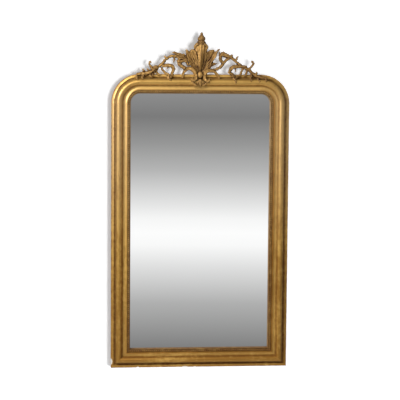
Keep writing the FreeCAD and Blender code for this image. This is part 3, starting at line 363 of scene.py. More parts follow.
def read_attribute(mesh, name):
    return read_array(mesh.attributes[name].data, "value", 1)[:, 0]


def surface_of(mesh):
    """The place and the normal of each vertex."""
    return [read_array(mesh.vertices, name).astype(float) for name in ("co", "normal")]


def graded(values, grades):
    """Reads values off a line through grades, which are pairs of a value and what it gives."""
    return np.interp(values, *zip(*grades))


def give_finish(mesh, material):
    mesh.materials.clear()
    mesh.materials.append(material)


def settle(piece, node):
    """Hangs a piece on the frame's body and hides the CAD node that it stands for."""
    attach(piece, "frame")
    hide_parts(node)


print("helpers that read, paint and settle a mesh")

# %% [markdown]
# The moulding
#
# The front is one moulding, mitred at the lower corners and turned round the upper ones: a bead, a hollow,
# a great roll, a step, a cove, the bed of the pearls and the sight lip. It could be extruded piece by
# piece, but its shape follows a rule, one section along six paths, so a node tree sweeps it. The section
# has the sizes of the CAD model. Only the outward lean of the bead, the shallower hollow beside it and the
# bevel of the lip are the scene's own. The tree places each point by how far across it lies from the outer
# edge and how far forward from the back, shears the ends for the mitres, and lets the surface waver by
# fractions of a millimetre, as scraped gesso does.

# %% The section of the moulding
WIDTH, HEIGHT = 0.870, 1.440
SIGHT_RADIUS, MOULDING = 45 * MM, 95 * MM
OUTER_RADIUS = SIGHT_RADIUS + MOULDING
HALF = WIDTH / 2
TURN = HALF - OUTER_RADIUS
SHOULDER = HEIGHT - OUTER_RADIUS
ARC_STEPS = 14
# corners of the section: across and forward in mm, and the rise of the arc that leads to the next one
SECTION = [
    (0, 22, 0), (0, 34, -1), (13.5, 37.5, 0), (14.5, 33, -2.5), (23, 37, 14), (53, 48, 0), (57, 40, -4.2),
    (79, 48, 0), (79, 43, 0), (91, 43, 0), (91, 45, 0), (92, 45, 0.6), (95, 24, 0), (95, 22, 0),
]


def arc_between(start, end, rise, steps):
    """Points from start up to, but without, end, on an arc that rises to the left of the way."""
    start, end = Vector(start), Vector(end)
    if rise == 0:
        return [start]
    half = (end - start).length / 2
    along = (end - start).normalized()
    upwards = Vector((-along.y, along.x))
    sweep = 2 * math.atan(rise / half)
    radius = half / math.sin(sweep)
    centre = (start + end) / 2 - upwards * (radius * math.cos(sweep))
    angles = [sweep * (2 * i / steps - 1) for i in range(steps)]
    return [centre + along * (radius * math.sin(a)) + upwards * (radius * math.cos(a)) for a in angles]


def section_points():
    points = []
    for (across, forward, rise), following in zip(SECTION, SECTION[1:] + SECTION[:1]):
        points += arc_between((across, forward), following[:2], rise, ARC_STEPS)
    return [Vector((p.x * MM, p.y * MM, 0)) for p in points]


print("section:", len(section_points()), "points")

# %% The parts of the sweeping tree
RIPPLES = 22.0
# how soon the waver sets in from the ends of a run
WAVER_RISE = 40.0
STREAK_LENGTH = 12.5


def captured(tree, geometry, **fields):
    """Stores fields on a curve, so that the surface swept from it still knows them."""
    node = add(tree, "GeometryNodeCaptureAttribute")
    for name in fields:
        node.capture_items.new("FLOAT" if name == "Share" else "VECTOR", name)
    wire(tree, node, Geometry=geometry, **fields)
    return node.outputs


def captured_path(tree, get, place):
    """The path in even steps, which know their place, direction, way inwards and share of the run."""
    way = add(tree, "GeometryNodeResampleCurve", {"mode": "LENGTH"}, Curve=get["Path"], Length=get["Step"])
    tangent = add(tree, "GeometryNodeInputTangent")
    inward = vector_maths(tree, "CROSS_PRODUCT", (0, 1, 0), tangent)
    share = add(tree, "GeometryNodeSplineParameter")
    return captured(tree, way, Place=place, Tangent=tangent, Inward=inward, Share=share)


def swept_place(tree, get, way, drawn):
    """Where a point of the section goes: inwards and forwards as drawn, and endways for the mitres."""
    lead = product(tree, remainder(tree, way["Share"]), get["Start Mitre"])
    lag = product(tree, way["Share"], get["End Mitre"])
    shear = product(tree, maths(tree, "SUBTRACT", lead, lag), drawn["X"])
    spot = way["Place"]
    for direction, far in ((way["Inward"], drawn["X"]), (way["Tangent"], shear), ((0, -1, 0), drawn["Y"])):
        spot = vector_maths(tree, "ADD", spot, scaled(tree, direction, far))
    return spot


def wavering(tree, get, way):
    """How the surface sinks here and there, but not at the ends of a run, so that the joints close."""
    ripple = noise(tree, add(tree, "GeometryNodeInputPosition"), RIPPLES, 2.0)
    from_ends = product(tree, way["Share"], remainder(tree, way["Share"]))
    inside = maths(tree, "MULTIPLY", from_ends, WAVER_RISE, clamp=True)
    sink = product(tree, ripple, inside, get["Waver"], -1.0)
    return scaled(tree, add(tree, "GeometryNodeInputNormal"), sink)


def streak_place(tree, way, drawn):
    """A place that is drawn out along the path, so that streaks run along the moulding."""
    along = vector_maths(tree, "DOT_PRODUCT", way["Place"], way["Tangent"]).outputs["Value"]
    shortened = product(tree, along, 1 / STREAK_LENGTH)
    return add(tree, "ShaderNodeCombineXYZ", X=drawn["X"], Y=drawn["Y"], Z=shortened)


def stored(tree, geometry, kind, name, value):
    """A geometry with one more attribute on its points."""
    kinds = {"data_type": kind, "domain": "POINT"}
    return add(tree, "GeometryNodeStoreNamedAttribute", kinds, Geometry=geometry, Name=name, Value=value)


print("streaks are", STREAK_LENGTH, "times as long as wide")


# %% The tree that sweeps the moulding
def moulding_tree():
    inputs = {
        "Geometry": ["Path"], "Object": ["Section"], "Material": ["Finish"],
        "Float": ["Step", "Start Mitre", "End Mitre", "Waver"],
    }
    tree, get, end = geometry_tree("moulding_run", inputs, "Moulding")
    place = add(tree, "GeometryNodeInputPosition")
    way = captured_path(tree, get, place)
    section = add(tree, "GeometryNodeObjectInfo", Object=get["Section"]).outputs["Geometry"]
    profile = captured(tree, section, Drawn=place)
    drawn = split(tree, profile["Drawn"])
    curves = {"Curve": way["Geometry"], "Profile_Curve": profile["Geometry"]}
    swept = add(tree, "GeometryNodeCurveToMesh", **curves, Fill_Caps=True)
    spot = swept_place(tree, get, way, drawn)
    shaped = add(tree, "GeometryNodeSetPosition", Geometry=swept, Position=spot)
    waved = add(tree, "GeometryNodeSetPosition", Geometry=shaped, Offset=wavering(tree, get, way))
    marked = stored(tree, waved, "FLOAT", "across", drawn["X"])
    streaked = stored(tree, marked, "FLOAT_VECTOR", "brushed", streak_place(tree, way, drawn))
    hand_over(tree, end, streaked, get["Finish"])
    return tree


MOULDING_RUN = moulding_tree()
print("moulding tree:", len(MOULDING_RUN.nodes), "nodes")

# %% The wear across the moulding
# dirt with painted shade in the hollows, rubbing, and burnish with a painted highlight,
# of the section, as (mm across, amount)
DIRT_AND_SHADE = [
    (0, 0.35), (1, 0), (11, 0), (13, 0.1), (15, 0.5), (20, 0.8), (24, 0.4), (28, 0.05), (47, 0), (52, 0.25),
    (53.5, 0.65), (56, 0.65), (58, 0.3), (61, 0), (76, 0), (78.5, 0.4), (80, 1), (90, 1), (91.5, 0.7),
    (93, 0.55), (95, 0.7),
]
RUB = [
    (0, 1), (1, 1), (4, 0.5), (8, 0.4), (12, 0.8), (30, 0.15), (38, 0.4), (46, 0.15), (52, 0.3), (54, 0.1),
    (60, 0), (75, 0.1), (78, 0.5), (79, 0.5), (92, 0.4), (94, 0.5),
]
BURNISH_AND_HIGHLIGHT = [
    (0, 0.2), (12, 0.2), (13.5, 0.1), (15, 0), (30, 0.2), (38, 0.1), (46, 0), (57, 0.1), (62, 0.6),
    (76, 0.6), (79, 0.3), (80, 0),
]
# chips that bare the white gesso: x and z of the middle, half width and half height, in mm
CHIPS = [(-435, 31, 11, 22), (-302, 0, 10, 8), (-69, 0, 22, 7), (-20, 0, 10, 5)]
CHIP_EDGE = 1.2


def chipped(places):
    """How bare each vertex is: one in the middle of a chip, and nothing past its edge."""
    bare = np.zeros(len(places))
    for x, z, wide, high in CHIPS:
        away = np.hypot((places[:, 0] / MM - x) / wide, (places[:, 2] / MM - z) / high)
        bare = np.maximum(bare, np.clip(CHIP_EDGE - away, 0, 1))
    return bare


def paint_moulding(mesh):
    across = read_attribute(mesh, "across") / MM
    for name, grades in (("hollow", DIRT_AND_SHADE), ("crown", RUB), ("burnish", BURNISH_AND_HIGHLIGHT)):
        paint(mesh, name, graded(across, grades))
    paint(mesh, "bare", chipped(surface_of(mesh)[0]))


print("wear of the moulding, with", len(CHIPS), "chips")

# %% Sweep the six runs
RUN_STEP, WAVER = 6 * MM, 0.5 * MM
SHARP_FROM = math.radians(32)
CORNER_STEPS = 40


def quarter(centre_x, first_degrees, inset):
    """Points of an upper corner's quarter turn, clockwise, at a distance inside the outer edge."""
    radius = OUTER_RADIUS - inset
    turns = [math.radians(first_degrees - 90 * i / CORNER_STEPS) for i in range(CORNER_STEPS + 1)]
    return [(centre_x + radius * math.cos(a), 0, SHOULDER + radius * math.sin(a)) for a in turns]


# clockwise round the front: name, path along the outer edge, mitre at its start, mitre at its end
RUNS = [
    ("stile_left", [(-HALF, 0, 0), (-HALF, 0, SHOULDER)], 1, 0),
    ("corner_left", quarter(-TURN, 180, 0), 0, 0),
    ("top_rail", [(-TURN, 0, HEIGHT), (TURN, 0, HEIGHT)], 0, 0),
    ("corner_right", quarter(TURN, 90, 0), 0, 0),
    ("stile_right", [(HALF, 0, SHOULDER), (HALF, 0, 0)], 0, 1),
    ("bottom_rail", [(HALF, 0, 0), (-HALF, 0, 0)], 1, 1),
]


def sweep_runs():
    section = path_object("section", section_points(), closed=True)
    for name, path, start_mitre, end_mitre in RUNS:
        values = {"Section": section, "Step": RUN_STEP, "Start Mitre": start_mitre, "End Mitre": end_mitre,
                  "Waver": WAVER, "Finish": GILT_MOULDING}
        piece = baked("gilt_" + name, path_object(name + "_path", path), MOULDING_RUN, values)
        paint_moulding(piece.data)
        piece.data.set_sharp_from_angle(angle=SHARP_FROM)
        settle(piece, name)
        print(piece.name, len(piece.data.polygons), "faces")
    bpy.data.objects.remove(section)


sweep_runs()

# %% [markdown]
# The string of pearls
#
# Round the sight edge runs a string of half-round pearls, cast in composition and laid in short lengths.
# They could be modelled one by one, but four hundred small balls are the plainest case for instances: a
# curve along the bed is resampled to the count, and a ball is set on every point. The balls differ a
# little in size, from a fixed seed, and their backs are pressed flat on the bed. Dirt and painted shade
# darken the flanks, and only the tops stay bright.

# %% The tree that strings the pearls
PEARL_SEGMENTS, PEARL_RINGS = 10, 6


def pressed_flat(tree, bed):
    """The place of a point, held in front of the bed."""
    place = split(tree, add(tree, "GeometryNodeInputPosition"))
    in_front = maths(tree, "MINIMUM", place["Y"], product(tree, bed, -1.0))
    return add(tree, "ShaderNodeCombineXYZ", X=place["X"], Y=in_front, Z=place["Z"])


def pearl_tree():
    inputs = {
        "Geometry": ["Path"], "Material": ["Finish"], "Int": ["Count", "Seed"],
        "Float": ["Radius", "Unevenness", "Bed"],
    }
    tree, get, end = geometry_tree("pearl_string", inputs, "Pearls")
    spots = add(tree, "GeometryNodeResampleCurve", {"mode": "COUNT"}, Curve=get["Path"], Count=get["Count"])
    ball = add(tree, "GeometryNodeMeshUVSphere", Segments=PEARL_SEGMENTS, Rings=PEARL_RINGS,
               Radius=get["Radius"])
    least = remainder(tree, get["Unevenness"])
    size = add(tree, "FunctionNodeRandomValue", {"data_type": "FLOAT"}, i2=least, i3=1.0, Seed=get["Seed"])
    strung = add(tree, "GeometryNodeInstanceOnPoints", Points=spots, Instance=ball, Scale=size.outputs[1])
    real = add(tree, "GeometryNodeRealizeInstances", Geometry=strung)
    flat = add(tree, "GeometryNodeSetPosition", Geometry=real, Position=pressed_flat(tree, get["Bed"]))
    hand_over(tree, end, flat, get["Finish"])
    return tree


PEARL_STRING = pearl_tree()
print("pearl tree:", len(PEARL_STRING.nodes), "nodes")

# %% String the pearls
PEARL_RADIUS, PEARL_PITCH = 4.4 * MM, 10 * MM
UNEVENNESS = 0.07
# the middle of the bed, from the outer edge, and its height
PEARL_LINE, BED = 85 * MM, 43 * MM
PEARL_X = HALF - PEARL_LINE
PEARL_TOP = HEIGHT - PEARL_LINE
HALF_PITCH = PEARL_PITCH / 2
# paths of the strings as (x, z) on the bed
PEARL_PATHS = [
    ("left", [(-PEARL_X, PEARL_LINE), (-PEARL_X, SHOULDER - HALF_PITCH)]),
    ("right", [(PEARL_X, PEARL_LINE), (PEARL_X, SHOULDER - HALF_PITCH)]),
    ("bottom", [(PEARL_PITCH - PEARL_X, PEARL_LINE), (PEARL_X - PEARL_PITCH, PEARL_LINE)]),
    ("top", [(HALF_PITCH - TURN, PEARL_TOP), (TURN - HALF_PITCH, PEARL_TOP)]),
    ("corner_left", [(x, z) for x, _, z in quarter(-TURN, 175, PEARL_LINE)]),
    ("corner_right", [(x, z) for x, _, z in quarter(TURN, 85, PEARL_LINE)]),
]
# dirt with painted shade on the flanks, and rubbing of a pearl, as (how proud of the bed in radii, amount)
PEARL_DIRT_AND_SHADE = [(0.5, 1.0), (0.75, 0.75), (0.93, 0.0)]
PEARL_RUB = [(0.8, 0.0), (1.0, 0.8)]


def string_pearls():
    for seed, (name, line) in enumerate(PEARL_PATHS, start=1):
        path = [(x, -BED, z) for x, z in line]
        length = sum(map(math.dist, path, path[1:]))
        count = round(length / PEARL_PITCH) + 1
        values = {"Count": count, "Seed": seed, "Radius": PEARL_RADIUS, "Unevenness": UNEVENNESS,
                  "Bed": BED, "Finish": GILT_PEARLS}
        piece = baked("gilt_pearls_" + name, path_object(name + "_pearl_path", path), PEARL_STRING, values)
        proud = [max(0.0, -v.co.y - BED) / PEARL_RADIUS for v in piece.data.vertices]
        paint(piece.data, "hollow", graded(proud, PEARL_DIRT_AND_SHADE))
        paint(piece.data, "crown", graded(proud, PEARL_RUB))
        settle(piece, "pearls_" + name)
        print(piece.name, count, "pearls")


string_pearls()

# %% [markdown]
# The carved crest
#
# The crest is limewood: a fluted shell between two leaves, a bud on top, scrolls at its foot and a
# flowering spray to each side. A carver roughs it out with flat cuts and then softens everything with
# riffler and gesso. The CAD solids are that roughed-out stage, so each piece starts from a copy of its
# solid and gets its small forms: a fluted fan behind the lobes of the shell, scales on the bud, lobes
# beside the pendant, and knots, leaflets and rounded ends on the sprays. Sculpting by hand would also do,
# but couldn't be repeated when the solid changes.

# %% A sheet and a knob
FOOT_X, FOOT_Z = -5 * MM, HEIGHT + 10 * MM
CREST_BACK = 31 * MM


def closed_sheet(shape, front, back):
    """Adds a thick sheet between two grids of points with the same rows and columns."""
    rows, columns = front.shape[:2]
    sides = [[shape.verts.new(point) for point in grid.reshape(-1, 3)] for grid in (front, back)]
    number = np.arange(rows * columns).reshape(rows, columns)
    cells = np.stack([number[:-1, :-1], number[:-1, 1:], number[1:, 1:], number[1:, :-1]], 2).reshape(-1, 4)
    for points, turn in zip(sides, (1, -1)):
        for cell in cells:
            shape.faces.new([points[i] for i in cell[::turn]])
    rim = [*number[0], *number[1:, -1], *number[-1, -2::-1], *number[-2:0:-1, 0]]
    for here, there in zip(rim, rim[1:] + rim[:1]):
        shape.faces.new([sides[0][there], sides[0][here], sides[1][here], sides[1][there]])


def add_knob(shape, place, wide, high, deep, turn=0.0):
    """A small rounded lump, given by its half sizes and turned in the plane of the front."""
    turned = Matrix.Translation(place) @ Matrix.Rotation(turn, 4, "Y")
    sized = turned @ Matrix.Diagonal((wide, deep, high, 1))
    bmesh.ops.create_icosphere(shape, subdivisions=2, radius=1.0, matrix=sized)


print("foot of the shell at x =", FOOT_X, "z =", round(FOOT_Z, 3))

# %% The fan behind the shell
# how far the fluted fan reaches from the foot of the shell, as (degrees from upright, mm)
FAN_REACH = [
    (-84, 26), (-67, 38), (-55, 60), (-48, 76), (-40, 92), (-30, 98), (-18, 92), (0, 100), (20, 84),
    (30, 96), (42, 104), (50, 84), (61, 66), (75, 44), (88, 28),
]
FAN_COLUMNS, FAN_ROWS = 190, 26
# flutes to half a turn
FAN_FLUTES = 23
# thickness at the rim, swell behind it and height of a flute in mm
FAN_RIM, FAN_SWELL, FLUTE_RISE = 7, 7, 1.7
# where the fan begins, as a share of its reach
FAN_START = 0.15


def add_fan(shape):
    """The fluted ground of the shell, which spreads behind its lobes and swells in between."""
    turns = np.linspace(FAN_REACH[0][0], FAN_REACH[-1][0], FAN_COLUMNS)
    share = np.linspace(FAN_START, 1, FAN_ROWS)[:, None]
    radius = share * graded(turns, FAN_REACH) * MM
    angle = np.broadcast_to(np.radians(turns), radius.shape)
    flutes = FLUTE_RISE * np.abs(np.cos(angle * FAN_FLUTES)) * np.minimum(1, 3 * share)
    thick = FAN_RIM + FAN_SWELL * np.sin(np.pi * 0.8 * share) + flutes
    x, z = FOOT_X + radius * np.sin(angle), FOOT_Z + radius * np.cos(angle)
    front = np.stack([x, -CREST_BACK - thick * MM, z], 2)
    back = front.copy()
    back[:, :, 1] = -CREST_BACK
    closed_sheet(shape, front, back)


print("fan:", FAN_FLUTES, "flutes to half a turn")

# %% Knots, leaflets and twig ends of the sprays
# rounded ends of the twigs: x, height over the frame, forward and radius in mm
TWIG_ENDS = [
    (-312, -20, 50, 4.6), (-286, -22, 51, 4.6), (-242, -12, 48, 4.6), (-152, -26, 54, 4.8),
    (-247, 60, 45, 4), (-176, 86, 45, 4), (-133, 106, 47, 5), (168, -33, 57, 4.8), (244, -28, 54, 4.6),
    (284, -32, 55, 4.6), (318, -29, 53, 4.6), (246, 62, 45, 4.2), (269, 8, 47, 5), (174, 81, 45, 4.2),
    (149, 93, 46, 4.2),
]
LEAFLETS = 40
# least and greatest half length, half width and half depth of a leaflet in mm
SMALL_LEAFLET, LARGE_LEAFLET = (4.5, 2.4, 2.2), (7.5, 3.6, 3.4)
SUNK = Vector((0, 1 * MM, 0))
# greatest y of the normal where a leaflet can grow, with -1 straight at the room
FACES_ROOM = -0.35


def add_leaflets(shape, side, seed):
    """Rounded ends on the twigs of one side, and knots and leaflets along the fronts of its stems."""
    for x, z, forward, radius in TWIG_ENDS:
        if x * side > 0:
            add_knob(shape, (x * MM, -forward * MM, HEIGHT + z * MM), radius * MM, radius * MM, radius * MM)
    shape.normal_update()
    fronts = [v.co.copy() for v in shape.verts if v.normal.y < FACES_ROOM]
    dice = np.random.default_rng(seed)
    for number in dice.choice(len(fronts), LEAFLETS, replace=False):
        long, thin, deep = dice.uniform(SMALL_LEAFLET, LARGE_LEAFLET) * MM
        add_knob(shape, fronts[number] + SUNK, long, thin, deep, dice.uniform(0, math.pi))


print("sprays:", len(TWIG_ENDS), "twig ends and", LEAFLETS, "leaflets a side")

# %% Scales of the bud and lobes of the pendant
# rows of scales: height over the frame, distance from the bud's axis and size in mm, and their count
BUD_ROWS = [(149, 18, 8, 4), (158, 16, 6, 3), (171, 13, 9.5, 4), (183, 8, 7, 3), (195, 2, 6, 1)]
BUD_X, BUD_Y = 0 * MM, -38 * MM
# degrees from the front to the last scale, and how deep the bud is for its width
SCALES_SPREAD, BUD_DEPTH = 75, 0.8
# half width, half height and half depth of a scale for its size
SCALE_SHAPE = (0.75, 1, 0.6)
# lobes: x, height over the frame, turn in radians and half length in mm
PENDANT_LOBES = [(-15, -36, 0.62, 15), (4, -36, -0.62, 15), (-5.5, -42, 0, 19)]
PENDANT_Y, LOBE_WIDE, LOBE_DEEP = -58 * MM, 6.5 * MM, 6 * MM


def add_scales(shape):
    for height, away, size, count in BUD_ROWS:
        for turn in np.radians(np.linspace(-SCALES_SPREAD, SCALES_SPREAD, count)):
            x = BUD_X + away * MM * math.sin(turn)
            y = BUD_Y - away * MM * math.cos(turn) * BUD_DEPTH
            add_knob(shape, (x, y, HEIGHT + height * MM), *(size * part * MM for part in SCALE_SHAPE))


def add_pendant_lobes(shape):
    """The leaf that hangs over the great roll: two lobes beside a middle one."""
    for x, z, turn, long in PENDANT_LOBES:
        add_knob(shape, (x * MM, PENDANT_Y, HEIGHT + z * MM), LOBE_WIDE, long * MM, LOBE_DEEP, turn)


SMALL_FORMS = {
    "shell": add_fan,
    "bud": add_scales,
    "pendant": add_pendant_lobes,
    "spray_left": lambda shape: add_leaflets(shape, side=-1, seed=16),
    "spray_right": lambda shape: add_leaflets(shape, side=1, seed=17),
}
print("small forms for", len(SMALL_FORMS), "pieces of the crest")

# %% [markdown]
# Softening the carving
#
# The forms of a piece are still separate lumps with sharp arrises. A voxel remesh draws one even skin over
# them, and smoothing rounds the arrises off. The skin is then carved: uneven lumps everywhere, fine flutes
# on shell and leaves, a hollow run along the front of each scroll, and waists between the tiers of the
# bud. A bump in the finish would serve this one camera, but the mesh is looked at from other sides too.

# %% Rough out and skin a piece
MERGE = 0.002 * MM


def roughed_out(name):
    """A joined copy of the mesh of a CAD piece, with its small forms added."""
    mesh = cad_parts["crest_" + name].data.copy()
    shape = bmesh.new()
    shape.from_mesh(mesh)
    bmesh.ops.remove_doubles(shape, verts=shape.verts, dist=MERGE)
    if name in SMALL_FORMS:
        SMALL_FORMS[name](shape)
    shape.to_mesh(mesh)
    shape.free()
    return mesh


def skinned(name, voxel):
    source = placed(name + "_rough", roughed_out(name))
    skin = source.modifiers.new("skin", "REMESH")
    skin.mode = "VOXEL"
    skin.voxel_size = voxel
    skin.use_smooth_shade = True
    return frozen("gilt_crest_" + name, source)


print("points nearer than", MERGE / MM, "mm are joined")

# %% Round off and carve a piece
STEP_IN, STEP_OUT = 0.5, -0.52
WAVES = 14
FLUTES_FULL_AT = 60 * MM
# the small carving: height and length of the lumps in mm, flutes to a full turn and their depth in mm
CARVING = {
    "shell": (0.5, 14, 46, 0.6),
    "leaf_left": (0.7, 13, 46, 1.0),
    "leaf_right": (0.7, 13, 46, 1.0),
    "bud": (0.7, 9, 0, 0),
    "cabochon": (0.2, 12, 0, 0),
    "pendant": (0.4, 10, 0, 0),
    "scroll_left": (0.7, 12, 0, 0),
    "scroll_right": (0.7, 12, 0, 0),
    "spray_left": (1.1, 11, 0, 0),
    "spray_right": (1.1, 11, 0, 0),
}
# waists of the bud: height over the frame in mm, and how much it is drawn in
WAISTS = [(190, 0.3), (163, 0.24)]
WAIST_LENGTH = 4
# where a scroll is hollow, as (how squarely the surface faces the room, share of the depth)
SCROLL_FRONT = [(0.84, 0), (0.96, 1)]
SCROLL_HOLLOW = 1.6 * MM


def averaged(values, edges):
    """Each vertex takes the mean of its neighbours."""
    here, there = np.concatenate([edges, edges[:, ::-1]]).T
    count = np.maximum(np.bincount(here, minlength=len(values)), 1)
    sums = [np.bincount(here, values[there, axis], len(values)) for axis in range(3)]
    return np.stack(sums, 1) / count[:, None]


def rounded(places, edges, rounds):
    """Rounds the arrises off. A step out follows each step in, so that thin stems stay thick."""
    for _ in range(rounds):
        for share in (STEP_IN, STEP_OUT):
            places = places + (averaged(places, edges) - places) * share
    return places


def uneven(places, length, seed):
    """A soft uneven field between about -1 and 1, whose lumps are some length apart."""
    dice = np.random.default_rng(seed)
    field = np.zeros(len(places))
    for _ in range(WAVES):
        way = dice.normal(size=3)
        way *= 2 * math.pi / (length * dice.uniform(0.8, 1.3) * np.linalg.norm(way))
        field += np.sin(places @ way + dice.uniform(0, 2 * math.pi))
    return field / 4


def waisted(places):
    """The bud drawn in between its tiers."""
    height = (places[:, 2] - HEIGHT) / MM
    width = np.ones(len(places))
    for level, drawn_in in WAISTS:
        width -= drawn_in * np.exp(-((height - level) / WAIST_LENGTH) ** 2)
    axis = np.array([BUD_X, BUD_Y, 0])
    return axis + (places - axis) * np.stack([width, width, np.ones(len(width))], 1)


def carved(name, places, normals):
    """Places moved by the small carving, and held inside the box of the CAD model."""
    height, length, flutes, depth = CARVING[name]
    rise = height * MM * uneven(places, length * MM, list(CARVING).index(name))
    if flutes:
        away_x, away_z = places[:, 0] - FOOT_X, places[:, 2] - FOOT_Z
        grooves = np.cos(np.arctan2(away_x, away_z) * flutes)
        rise += depth * MM * grooves * np.clip(np.hypot(away_x, away_z) / FLUTES_FULL_AT, 0, 1)
    if "scroll" in name:
        rise -= SCROLL_HOLLOW * graded(-normals[:, 1], SCROLL_FRONT)
    if name == "bud":
        places = waisted(places)
    return np.clip(places + normals * rise[:, None], cad_box[0], cad_box[1])


print("small carving for", len(CARVING), "pieces of the crest")

# %% [markdown]
# Dirt and painted shade on the carving
#
# Dust settles where no cloth reaches: between the stems, under the lobes, and on the sides, which were
# never laid with leaf as well as the front. The same spots lie in shade, and the finish paints that shade
# into their colour as well. Rays from every vertex could find such spots, but counting is quicker. All the
# vertices of the crest fall into the cells of a grid, the counts are blurred, and each vertex reads how
# crowded the spot in front of it is, once for small gaps and once for wide ones. Crowded spots become
# hollows, dark with dirt and painted shade, and open ones crowns. Some pieces are painted darker as a
# whole, and two lighter.

# %% Paint the sides and the hollows
# darkening painted on the whole of a piece, below zero where it is painted lighter than the rest
PIECE_DARKENING = {
    "bud": 0.55, "pendant": 0.35, "leaf_right": 0.35, "spray_right": 0.22,
    "shell": -0.15, "leaf_left": -0.15,
}
# dirt and painted shade of the sides, as (y of the normal, which is -1 where the surface faces
# the room, amount)
SIDE_DIRT_AND_SHADE = [(-0.75, 0), (-0.2, 0.85)]
# shares of the vertices, from the most open: full crowns end, hollows begin, and hollows are full
CROWD_LEVELS = [0.03, 0.35, 0.85]


def paint_sides(name, mesh):
    """Paints sides and edges of the carving dark with dirt and shade, some pieces darker or lighter."""
    facing = surface_of(mesh)[1][:, 1]
    paint(mesh, "hollow", PIECE_DARKENING.get(name, 0) + graded(facing, SIDE_DIRT_AND_SHADE))
    paint(mesh, "crown", np.zeros(len(facing)))


def crowding(points, cell, spread):
    """The lowest corner and the cells of a grid of how much carved surface lies round each spot."""
    margin = 5 * spread
    low = points.min(0) - margin
    counts = np.ceil((points.max(0) + margin - low) / cell).astype(int)
    grid = np.zeros(counts)
    np.add.at(grid, tuple(((points - low) / cell).astype(int).T), 1.0)
    for axis, count in enumerate(counts):
        shape = [1, 1, 1]
        shape[axis] = count
        blur = np.exp(-2 * (math.pi * spread * np.fft.fftfreq(count, cell)) ** 2).reshape(shape)
        grid = np.fft.ifft(np.fft.fft(grid, axis=axis) * blur, axis=axis).real
    return low, grid


def paint_hollows(meshes, spread, reach, share):
    """Paints dirt and shade into hollows where the spot in front is crowded, and crowns where it is open.
    """
    arrays = [surface_of(mesh) for mesh in meshes]
    cell = spread / 2
    low, grid = crowding(np.concatenate([places for places, _ in arrays]), cell, spread)
    spots = [((places + normals * reach - low) / cell).astype(int) for places, normals in arrays]
    crowds = [grid[tuple(spot.T)] for spot in spots]
    levels = np.quantile(np.concatenate(crowds), CROWD_LEVELS)
    for mesh, crowd in zip(meshes, crowds):
        hollow = read_attribute(mesh, "hollow") + share * np.interp(crowd, levels[1:], [0, 1])
        crown = read_attribute(mesh, "crown") + share * np.interp(crowd, levels[:2], [1, 0])
        paint(mesh, "hollow", hollow)
        paint(mesh, "crown", crown)


print("painted_darkening on", len(PIECE_DARKENING), "pieces of the crest")

# %% Carve the crest
VOXEL, SPRAY_VOXEL = 1.1 * MM, 0.9 * MM
ROUNDS = 6
# gaps between the carvings: spread of a crowd, how far in front it is read, and the amount of dirt and
# shade
GAPS = [(2.5 * MM, 3 * MM, 0.8), (7 * MM, 9 * MM, 0.5)]


def carved_piece(name):
    piece = skinned(name, SPRAY_VOXEL if "spray" in name else VOXEL)
    mesh = piece.data
    places, normals = surface_of(mesh)
    places = rounded(places, read_array(mesh.edges, "vertices", 2, np.int32), ROUNDS)
    mesh.vertices.foreach_set("co", carved(name, places, normals).ravel())
    mesh.update()
    paint_sides(name, mesh)
    print(piece.name, len(mesh.polygons), "faces")
    return piece


def carve_crest():
    pieces = [carved_piece(name) for name in CARVING]
    for spread, reach, share in GAPS:
        paint_hollows([piece.data for piece in pieces], spread, reach, share)
    for name, piece in zip(CARVING, pieces):
        give_finish(piece.data, GILT_CARVING)
        settle(piece, "crest_" + name)


carve_crest()

# %% [markdown]
# The mirror plate
#
# Old plate glass with a bright metal backing. Seen from the front it is a mirror and nothing else, so it
# is one polished metal with the faint grey of the backing. A glass sheet over a metal sheet would double
# every reflection at the edges for no gain at this distance.

# %% The mirror finish
def mirror_material():
    material, tree, shader, where = new_material("mirror_silvering")
    colour = mixed(tree, noise(tree, where, 3.0, 2.0), (0.985, 0.99, 0.99, 1), (0.97, 0.975, 0.97, 1))
    wire(tree, shader, Base_Color=colour, Metallic=1.0, Roughness=0.0)
    return material


def finish_nodes(names, material):
    """Gives CAD nodes that are shown as they are their finish."""
    for name in names:
        give_finish(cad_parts[name].data, material)


finish_nodes(["mirror_plate"], mirror_material())
print("mirror plate finished")

# %% [markdown]
# Softwood and iron
#
# The back is bare pine gone brown, planed by hand, and the hangers are forged iron. The boards run across
# and the stiles upright, so one grain group serves them all, with its rings stretched along x or z. Each
# board has its own tone and stretch of grain. The CAD solids have the right shapes here, and only take the
# finish.

# %% The grain group
def grain_group():
    tree = bpy.data.node_groups.new("pine_grain", "ShaderNodeTree")
    inputs = {"Vector": ["Place"], "Color": ["Pale", "Dark"]}
    start, end = declare(tree, inputs, {"Color": ["Color"], "Float": ["Roughness", "Height"]})
    get = start.outputs
    sway = noise(tree, get["Place"], 1.2, 2.0)
    fibre = noise(tree, get["Place"], 16.0, 4.0, 0.65)
    rings = add(tree, "ShaderNodeTexWave", {"wave_type": "RINGS", "rings_direction": "X"},
                Vector=get["Place"], Scale=2.2, Distortion=7.0, Detail=3.0, Detail_Scale=1.2)
    lines = remapped(tree, rings.outputs["Fac"], 0.2, 0.95)
    tone = weighed(tree, (lines, 0.5), (fibre, 0.35), (sway, 0.3), clamp=True)
    rough = maths(tree, "ADD", product(tree, fibre, 0.2), 0.6)
    wire(tree, end, Color=mixed(tree, tone, get["Pale"], get["Dark"]), Roughness=rough,
         Height=maths(tree, "ADD", lines, fibre))
    return tree


GRAIN = grain_group()
print("grain group:", len(GRAIN.nodes), "nodes")

